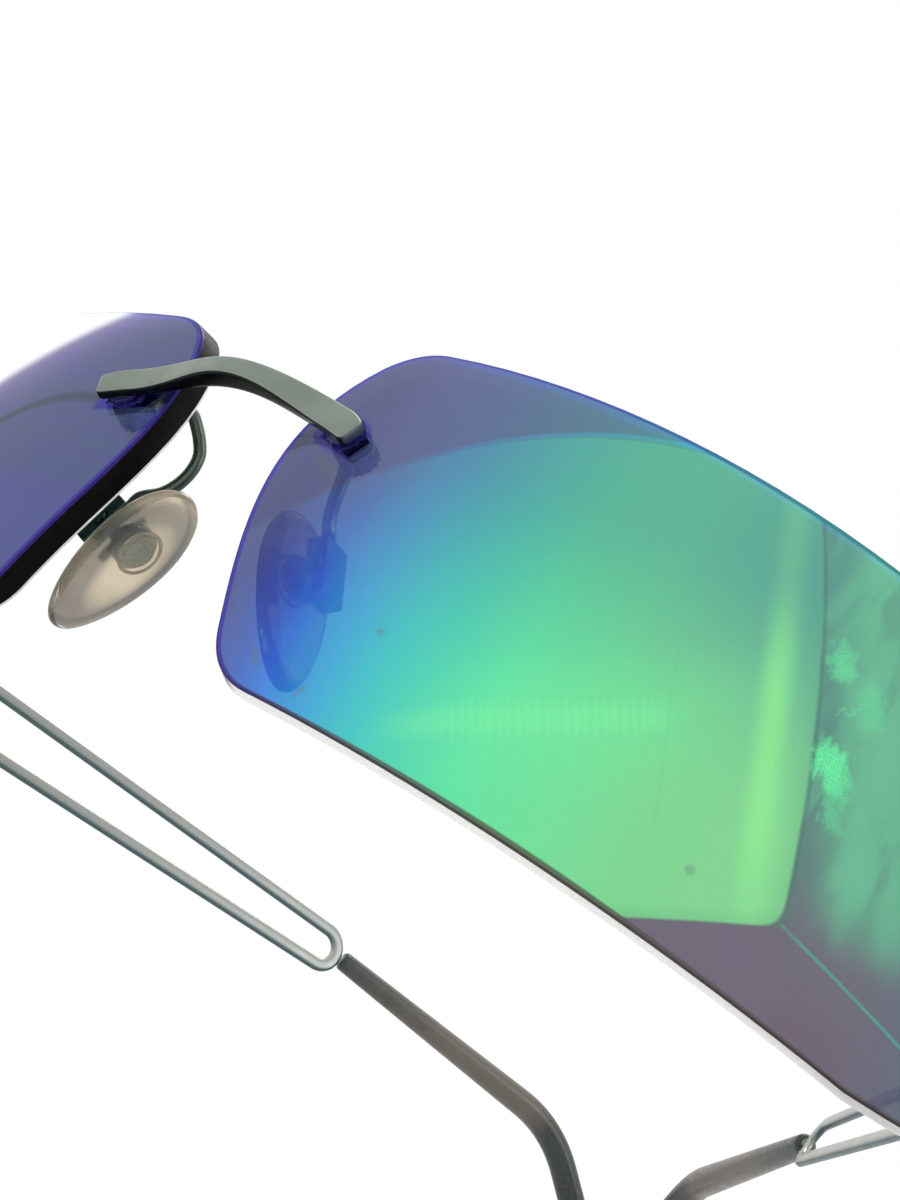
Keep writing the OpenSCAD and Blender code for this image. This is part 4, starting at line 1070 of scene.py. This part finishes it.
def tip_material(front, back):
    """Dark satin sleeve whose tone drifts along its length, with fine scuffs."""
    made, tree, shader = new_material("tip_sleeve")
    coords = object_coords(tree)
    spot = line_of(tree, noise(tree, coords, 380, 4.0, 0.6), 0.12, less(tree, attribute(tree, "along"), 0.06))
    colour = ramp(tree, spot, 0.0, 1.0, [(0.0, front), (0.06, front), (0.3, back), (0.48, shade(back, 0.92)),
                                         (0.62, shade(front, 0.8)), (1.0, shade(front, 0.5))])
    fill(tree, shader, {
        "Base Color": mix(tree, worn(tree, 2600, 3.0, 0.5, 0.72, most=0.18), colour, shade(back, 1.5)),
        "Roughness": worn(tree, 1500, 3.0, least=0.26, most=0.4),
        "Normal": bump_of(tree, noise(tree, coords, 3600, 2.0), 0.1, 1.5 * FINE),
    })
    return made


def build_tip(label, finish):
    """The sleeve: grows along its straight part, bends down behind the ear and ends round."""
    bend = math.radians(TIP_BEND)
    turn_end = TIP_STRAIGHT + TIP_BEND_R * bend

    def station(length, r):
        a = min(max((length - TIP_STRAIGHT) / TIP_BEND_R, 0.0), bend)
        straight, last = min(length, TIP_STRAIGHT), max(length - turn_end, 0.0)
        at = Vector((0, straight + TIP_BEND_R * math.sin(a) + last * math.cos(a),
                     -TIP_BEND_R * (1 - math.cos(a)) - last * math.sin(a)))
        return TIP @ placed(Vector((-r, 0, 0)), Vector((0, math.sin(a), math.cos(a))) * r, at)

    spots = []
    for q in (math.pi / 2 * k / NOSE_STEPS for k in range(NOSE_STEPS + 1)):
        spots.append((TIP_NOSE * (1 - math.cos(q)), TIP_FRONT_R - TIP_NOSE * (1 - math.sin(q))))
    for share in (k / STRAIGHT_STEPS for k in range(1, STRAIGHT_STEPS)):
        spots.append((TIP_NOSE + (TIP_STRAIGHT - TIP_NOSE) * share, TIP_FRONT_R + (TIP_BACK_R - TIP_FRONT_R) * share))
    spots += [(TIP_STRAIGHT + (turn_end - TIP_STRAIGHT) * k / BEND_STEPS, TIP_BACK_R) for k in range(BEND_STEPS + 1)]
    spots += [(turn_end + TIP_LAST * k / LAST_STEPS, TIP_BACK_R) for k in range(1, LAST_STEPS)]
    for q in (math.pi / 2 * k / POLE_STEP for k in range(END_STEPS)):
        spots.append((turn_end + TIP_LAST + TIP_BACK_R * math.sin(q), TIP_BACK_R * math.cos(q)))
    bm = new_mesh()
    sweep(bm, [station(length, r) for length, r in spots], TIP_COUNT)
    obj = new_object(f"temple_tip_{label}_sleeve", bm, half(label), sharp=60)
    settle(obj, [finish], f"temple_{label}", "tip", f"temple_tip_{label}")


# ---------------------------------------------------------------- small parts of the CAD frame


# Degrees: corners up to the first shade smooth, from the second on they are bevelled, below the third they are flat.
SMOOTH_TO, BEVEL_FROM, FLAT_TO = 32, 38, 0.3
WELD_WITHIN = 0.000002


def soften_group():
    """Geometry nodes that shade smooth all but the real corners of a CAD node."""
    if "soft_shading" in bpy.data.node_groups:
        return bpy.data.node_groups["soft_shading"]
    tree = bpy.data.node_groups.new("soft_shading", "GeometryNodeTree")
    tree.interface.new_socket("Geometry", in_out="INPUT", socket_type="NodeSocketGeometry")
    tree.interface.new_socket("Geometry", in_out="OUTPUT", socket_type="NodeSocketGeometry")
    given, out = tree.nodes.new("NodeGroupInput"), tree.nodes.new("NodeGroupOutput")
    faces = node(tree, "GeometryNodeSetShadeSmooth", domain="FACE")
    edges = node(tree, "GeometryNodeSetShadeSmooth", domain="EDGE")
    angle = node(tree, "GeometryNodeInputMeshEdgeAngle")
    compare = node(tree, "FunctionNodeCompare", data_type="FLOAT", operation="LESS_THAN")
    fill(tree, faces.inputs, {0: given.outputs[0], "Shade Smooth": True})
    fill(tree, compare.inputs, {0: angle.outputs["Unsigned Angle"], 1: math.radians(SMOOTH_TO)})
    fill(tree, edges.inputs, {0: faces.outputs[0], "Shade Smooth": compare.outputs[0]})
    feed(tree, out.inputs[0], edges.outputs[0])
    return tree


def dress_node(name, finish, bevel):
    """Gives a CAD node its material, and by modifiers a small bevel and smooth shading."""
    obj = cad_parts[name]
    for slot in obj.material_slots:
        slot.material = finish
    weld = obj.modifiers.new("weld", "WELD")
    weld.merge_threshold = WELD_WITHIN
    if bevel:
        flat = obj.modifiers.new("flat", "DECIMATE")
        flat.decimate_type, flat.angle_limit = "DISSOLVE", math.radians(FLAT_TO)
        cut = obj.modifiers.new("edges", "BEVEL")
        cut.width, cut.segments, cut.limit_method = bevel, 2, "ANGLE"
        cut.angle_limit = math.radians(BEVEL_FROM)
    soft = obj.modifiers.new("shading", "NODES")
    soft.node_group = soften_group()


def bush_material():
    made, tree, shader = new_material("clear_bush")
    fill(tree, shader, {
        "Base Color": mix(tree, worn(tree, 800), srgb(150, 156, 166), srgb(176, 180, 188)),
        "Roughness": worn(tree, 2200, least=0.12, most=0.25),
        "Transmission Weight": 0.6,
    })
    return made


def washer_material(colour):
    """Tinted plastic of the washers; the indigo also stands in for the purple reflection of the lens coating, and
    they are painted white where seen in reflections.
    """
    made, tree, shader = new_material("tinted_washer")
    # Painted reflection: white where the washers are seen in a reflection.
    mirrored = node(tree, "ShaderNodeLightPath").outputs["Is Glossy Ray"]
    tinted = mix(tree, worn(tree, 1400), shade(colour, 0.85), shade(colour, 1.2))
    fill(tree, shader, {
        "Base Color": mix(tree, mirrored, tinted, grey(1)),
        "Roughness": worn(tree, 2400, least=0.2, most=0.36),
        "Transmission Weight": 0.25,
    })
    return made


# ---------------------------------------------------------------- stage


FLOOR_R, FLOOR_DROP = 3.0, 0.0001
# Place and size of each lamp, in metres, and what both point at.
LAMPS = {"key": ((-0.15, 0.2, 0.9), 0.5), "fill": ((0.8, 0.12, 0.4), 0.4)}
LAMP_TARGET = (0, -0.03, 0.018)
# The camera fitted to the photo: its place in the source's row in millimetres, its axes and its lens.
CAMERA_AT = (94.06, -91.29, -48.0)
CAMERA_RIGHT, CAMERA_DOWN = (0.80827, 0.36859, 0.45918), (0.19663, 0.56610, -0.80054)
CAMERA_AHEAD = (-0.55501, 0.73734, 0.38509)
CAMERA_SENSOR, CAMERA_LENS, CAMERA_CLIP = 24.0, 35.852, (0.005, 20.0)


def floor_material(light):
    """Pale floor that shows from above only, and not in reflections."""
    made, tree, shader = new_material("pale_floor")
    dusty = (light * 0.985, light * 0.985, light * 0.98, 1)
    fill(tree, shader, {"Base Color": mix(tree, worn(tree, 14, 3.0), grey(light), dusty), "Roughness": 0.7})
    see_through(tree, calc(tree, "MAXIMUM", node(tree, "ShaderNodeNewGeometry").outputs["Backfacing"],
                           node(tree, "ShaderNodeLightPath").outputs["Is Glossy Ray"]))
    return made


def build_floor(light):
    bm = bmesh.new()
    bmesh.ops.create_circle(bm, cap_ends=True, segments=96, radius=FLOOR_R)
    for face in bm.faces:
        if face.normal.z < 0:
            face.normal_flip()
    mesh = bpy.data.meshes.new("floor")
    bm.to_mesh(mesh)
    bm.free()
    floor = bpy.data.objects.new("floor", mesh)
    floor.location.z = -FLOOR_DROP
    mesh.materials.append(floor_material(light))
    bpy.context.scene.collection.objects.link(floor)


def build_world(level, under):
    """White where it is seen, an even level where it lights, and darker below where metal mirrors it."""
    world = bpy.data.worlds.new("studio")
    bpy.context.scene.world = world
    world.use_nodes = True
    tree = world.node_tree
    path = node(tree, "ShaderNodeLightPath").outputs
    seen = calc(tree, "MAXIMUM", path["Is Camera Ray"], path["Is Transmission Ray"])
    height = parts_of(tree, node(tree, "ShaderNodeTexCoord").outputs["Generated"])[2]
    sky = mix(tree, fade(tree, height, -0.5, -0.12), (under, under * 1.02, under * 1.04, 1), grey(1))
    lit = mix(tree, path["Is Glossy Ray"], grey(level), sky)
    feed(tree, tree.nodes["Background"].inputs["Color"], mix(tree, seen, lit, grey(1)))


def build_lamp(name, power):
    spot, size = LAMPS[name]
    data = bpy.data.lights.new(name, "AREA")
    data.shape, data.size, data.size_y, data.energy = "RECTANGLE", size, size, power
    lamp = bpy.data.objects.new(name, data)
    lamp.location = spot
    lamp.rotation_mode = "QUATERNION"
    lamp.rotation_quaternion = (Vector(LAMP_TARGET) - Vector(spot)).to_track_quat("-Z", "Y")
    bpy.context.scene.collection.objects.link(lamp)


def build_camera():
    """The photograph's camera: below and in front, on the wearer's left."""
    data = bpy.data.cameras.new("photo_camera")
    data.sensor_fit, data.sensor_width, data.lens = "AUTO", CAMERA_SENSOR, CAMERA_LENS
    data.clip_start, data.clip_end = CAMERA_CLIP
    camera = bpy.data.objects.new("photo_camera", data)
    rotation = Matrix((CAMERA_RIGHT, -Vector(CAMERA_DOWN), -Vector(CAMERA_AHEAD))).transposed().to_4x4()
    camera.matrix_world = Matrix.Translation(ROW @ Vector(CAMERA_AT)) @ rotation
    bpy.context.scene.collection.objects.link(camera)
    bpy.context.scene.camera = camera


# ---------------------------------------------------------------- add-on


def length_prop(name, about, default, low, high):
    return bpy.props.FloatProperty(name=name, description=about, default=default, min=low, max=high,
                                   subtype="DISTANCE", unit="LENGTH", precision=5)


def share_prop(name, about, default, high=1.0):
    return bpy.props.FloatProperty(name=name, description=about, default=default, min=0.0, max=high, subtype="FACTOR")


def colour_prop(name, about, *default):
    return bpy.props.FloatVectorProperty(name=name, description=about, default=srgb(*default)[:3], min=0.0, max=1.0,
                                         subtype="COLOR")


def watts_prop(name, about, default):
    return bpy.props.FloatProperty(name=name, description=about, default=default, min=0.0, max=50.0, unit="POWER")


class EyewearLensSettings(bpy.types.PropertyGroup):
    rim: length_prop("Front bevel", "Width of the small bevel round the front of a lens", 0.00016, 0.00005, 0.0004)
    chamfer: length_prop("Back bevel", "Width of the bevel round the back of a lens", 0.00055, 0.00005, 0.0009)
    # The nose edge's near black is painted shade; the frosted edge also gets a painted glow.
    nose: colour_prop("Nose edge", "Colour of the ground edge beside the nose", 9, 7, 7)
    pale: colour_prop("Frosted edge", "Colour of the ground edge elsewhere", 232, 230, 228)
    far: bpy.props.FloatProperty(name="Colour shift", default=9.0, min=-20.0, max=20.0,
                                 description="How far the right lens's colours sit further out, in millimetres")
    # Glare: painted white glare, which glows, and a painted dark arch of reflection.
    glare: share_prop("Glare", "White glare and soft arch on the nose side of the right lens", 1.0)


class EyewearMetalSettings(bpy.types.PropertyGroup):
    satin: colour_prop("Satin metal", "Colour of the bridge, end pieces and hinge plates", 134, 143, 134)
    arm: colour_prop("Arm metal", "Colour of the pad arms", 92, 104, 98)
    wire: colour_prop("Wire metal", "Colour of the temple wires", 176, 175, 168)
    # Wire underside: the painted shade of the temple wires underneath.
    wire_shade: colour_prop("Wire underside", "Colour of the temple wires underneath", 84, 102, 106)
    dark: colour_prop("Small hardware", "Colour of nuts, boxes and screws", 72, 98, 102)
    # Washers: indigo tint that also stands in for the purple reflection of the lens coating.
    washer: colour_prop("Washers", "Colour of the washers in front of the lenses", 40, 36, 112)
    roughness: share_prop("Roughness", "Roughness of the satin metal", 0.3)
    square: share_prop("Squareness", "How square the bridge bar is: less is squarer", 0.38)
    tip_round: length_prop("Bar tip", "Rounding of the ends of the bridge bar", 0.00045, 0.0002, 0.0009)
    edge: length_prop("Edge bevel", "Bevel on the small metal parts", 0.00008, 0.00002, 0.0002)


class EyewearPadSettings(bpy.types.PropertyGroup):
    silicone: colour_prop("Silicone", "Colour of the nose pads", 226, 212, 188)
    clear: share_prop("Clearness", "Share of the light that goes through a nose pad", 0.75)


class EyewearTempleSettings(bpy.types.PropertyGroup):
    front: colour_prop("Sleeve front", "Colour of a temple tip where it starts", 50, 60, 57)
    back: colour_prop("Sleeve middle", "Colour of a temple tip along its middle", 104, 97, 88)


class EyewearStageSettings(bpy.types.PropertyGroup):
    floor: share_prop("Floor lightness", "Lightness of the pale floor", 0.82)
    world: share_prop("World level", "Level of the light from all round", 0.75, 2.0)
    under: share_prop("Light from below", "How light metal mirrors what lies below", 0.85)
    key: watts_prop("Key lamp", "Power of the lamp overhead", 3.0)
    fill: watts_prop("Fill lamp", "Power of the lamp at the wearer's left", 1.2)


class EYEWEAR_OT_lenses(bpy.types.Operator):
    """Two curved mirror lenses with bevelled edges and drilled holes"""

    bl_idname = "eyewear.lenses"
    bl_label = "Lenses"

    def execute(self, context):
        s = context.scene.eyewear_lens
        nose, pale = opaque(s.nose), opaque(s.pale)
        rest = [lens_back_material(), lens_wall_material("lens_wall", nose, pale), lens_rim_material(),
                lens_wall_material("lens_back_rim", pale, pale)]
        for label, far, glare in (("left", 0.0, 0.0), ("right", s.far, s.glare)):
            front = lens_front_material(f"lens_mirror_{label}", far, glare)
            build_lens(label, [front] + rest, s.rim / MM, s.chamfer / MM)
        return {"FINISHED"}


class EYEWEAR_OT_bridge(bpy.types.Operator):
    """Arched bridge bar with its posts"""

    bl_idname = "eyewear.bridge"
    bl_label = "Bridge"

    def execute(self, context):
        s = context.scene.eyewear_metal
        # Painted shade and highlight on the bridge bar and its posts.
        tones = bar_shade_tones(s.satin, shade(s.satin, 0.09), shade(s.satin, 1.7))
        finish = metal_material("bridge_metal", tones, BAR_SHADE_PLACES, s.roughness)
        build_bridge(finish, s.square, s.tip_round / MM)
        return {"FINISHED"}


class EYEWEAR_OT_pads(bpy.types.Operator):
    """Pad arms, silicone cushions and their plain rings"""

    bl_idname = "eyewear.pads"
    bl_label = "Nose pads"

    def execute(self, context):
        s = context.scene.eyewear_pad
        metal = context.scene.eyewear_metal
        # Painted shade and highlight on the pad arms.
        tones = round_tones(metal.arm, shade(metal.arm, 0.5), shade(metal.arm, 1.9))
        arm = metal_material("arm_metal", tones, ROUND, 0.34, FROM_FRONT, 0.05)
        silicone, boss = silicone_material(s.silicone, s.clear), boss_material(s.silicone)
        for label in SIDES:
            build_pad_arm(label, arm)
            build_pad(label, silicone)
            build_boss(label, boss)
        return {"FINISHED"}


class EYEWEAR_OT_temples(bpy.types.Operator):
    """Wire loops and soft tips"""

    bl_idname = "eyewear.temples"
    bl_label = "Temples"

    def execute(self, context):
        metal, s = context.scene.eyewear_metal, context.scene.eyewear_temple
        # Painted shade and highlight on the temple wires and rods, dark underneath.
        tones = round_tones(metal.wire, opaque(metal.wire_shade), shade(metal.wire, 1.25))
        wire = metal_material("loop_metal", tones, WIRE, 0.3, FROM_FRONT, 0.05)
        sleeve = tip_material(opaque(s.front), opaque(s.back))
        for label in SIDES:
            build_wire(label, wire)
            build_tip(label, sleeve)
            dress_node(f"temple_rod_{label}", wire, 0.0)
        return {"FINISHED"}


class EYEWEAR_OT_hardware(bpy.types.Operator):
    """Finishes of the small parts that come from the CAD frame"""

    bl_idname = "eyewear.hardware"
    bl_label = "Hardware"

    def execute(self, context):
        s = context.scene.eyewear_metal
        # Painted shade and highlight on the small dark hardware.
        tones = round_tones(s.dark, shade(s.dark, 0.6), shade(s.dark, 1.8))
        dark = metal_material("dark_hardware", tones, ROUND, 0.28)
        # Painted shade and highlight on the end pieces and hinge plates.
        tones = bar_shade_tones(s.satin, shade(s.satin, 0.3), shade(s.satin, 1.5))
        satin = metal_material("hinge_metal", tones, BAR_SHADE_PLACES, s.roughness)
        dress_node("lens_washers", washer_material(s.washer), s.edge / 2)
        for name in ("bridge_nuts", "hinge_nuts"):
            dress_node(name, dark, s.edge / 2)
        dress_node("lens_bushes", bush_material(), 0.0)
        dress_node("pad_screws", dark, s.edge / 2)
        for label in SIDES:
            for part, finish, bevel in (("pad_box", dark, 2.0), ("pad_core", dark, 0.5), ("end_piece", satin, 1.0),
                                        ("hinge_plate", satin, 1.0), ("hinge_screw", dark, 1.0)):
                dress_node(f"{part}_{label}", finish, s.edge * bevel)
        return {"FINISHED"}


class EYEWEAR_OT_stage(bpy.types.Operator):
    """Floor, world, lamps and the photograph's camera"""

    bl_idname = "eyewear.stage"
    bl_label = "Stage"

    def execute(self, context):
        s = context.scene.eyewear_stage
        context.scene.view_settings.view_transform = "Standard"
        build_floor(s.floor)
        build_world(s.world, s.under)
        build_lamp("key", s.key)
        build_lamp("fill", s.fill)
        build_camera()
        return {"FINISHED"}


class EYEWEAR_PT_panel(bpy.types.Panel):
    """Settings and steps of the sunglasses"""

    bl_label = "Rimless sunglasses"
    bl_space_type = "VIEW_3D"
    bl_region_type = "UI"
    bl_category = "Eyewear"

    def draw(self, context):
        for name, kind in SETTINGS.items():
            for key in kind.__annotations__:
                self.layout.prop(getattr(context.scene, name), key)
        for operator in OPERATORS:
            self.layout.operator(operator.bl_idname)


SETTINGS = {"eyewear_lens": EyewearLensSettings, "eyewear_metal": EyewearMetalSettings,
            "eyewear_pad": EyewearPadSettings, "eyewear_temple": EyewearTempleSettings,
            "eyewear_stage": EyewearStageSettings}
OPERATORS = (EYEWEAR_OT_lenses, EYEWEAR_OT_bridge, EYEWEAR_OT_pads, EYEWEAR_OT_temples, EYEWEAR_OT_hardware,
             EYEWEAR_OT_stage)
CLASSES = tuple(SETTINGS.values()) + OPERATORS + (EYEWEAR_PT_panel,)


def register():
    for made in CLASSES:
        bpy.utils.register_class(made)
    for name, kind in SETTINGS.items():
        setattr(bpy.types.Scene, name, bpy.props.PointerProperty(type=kind))


def unregister():
    for name in SETTINGS:
        delattr(bpy.types.Scene, name)
    for made in reversed(CLASSES):
        bpy.utils.unregister_class(made)


def main():
    register()
    for step in ("lenses", "bridge", "pads", "temples", "hardware", "stage"):
        getattr(bpy.ops.eyewear, step)()


if __name__ == "__main__":
    main()
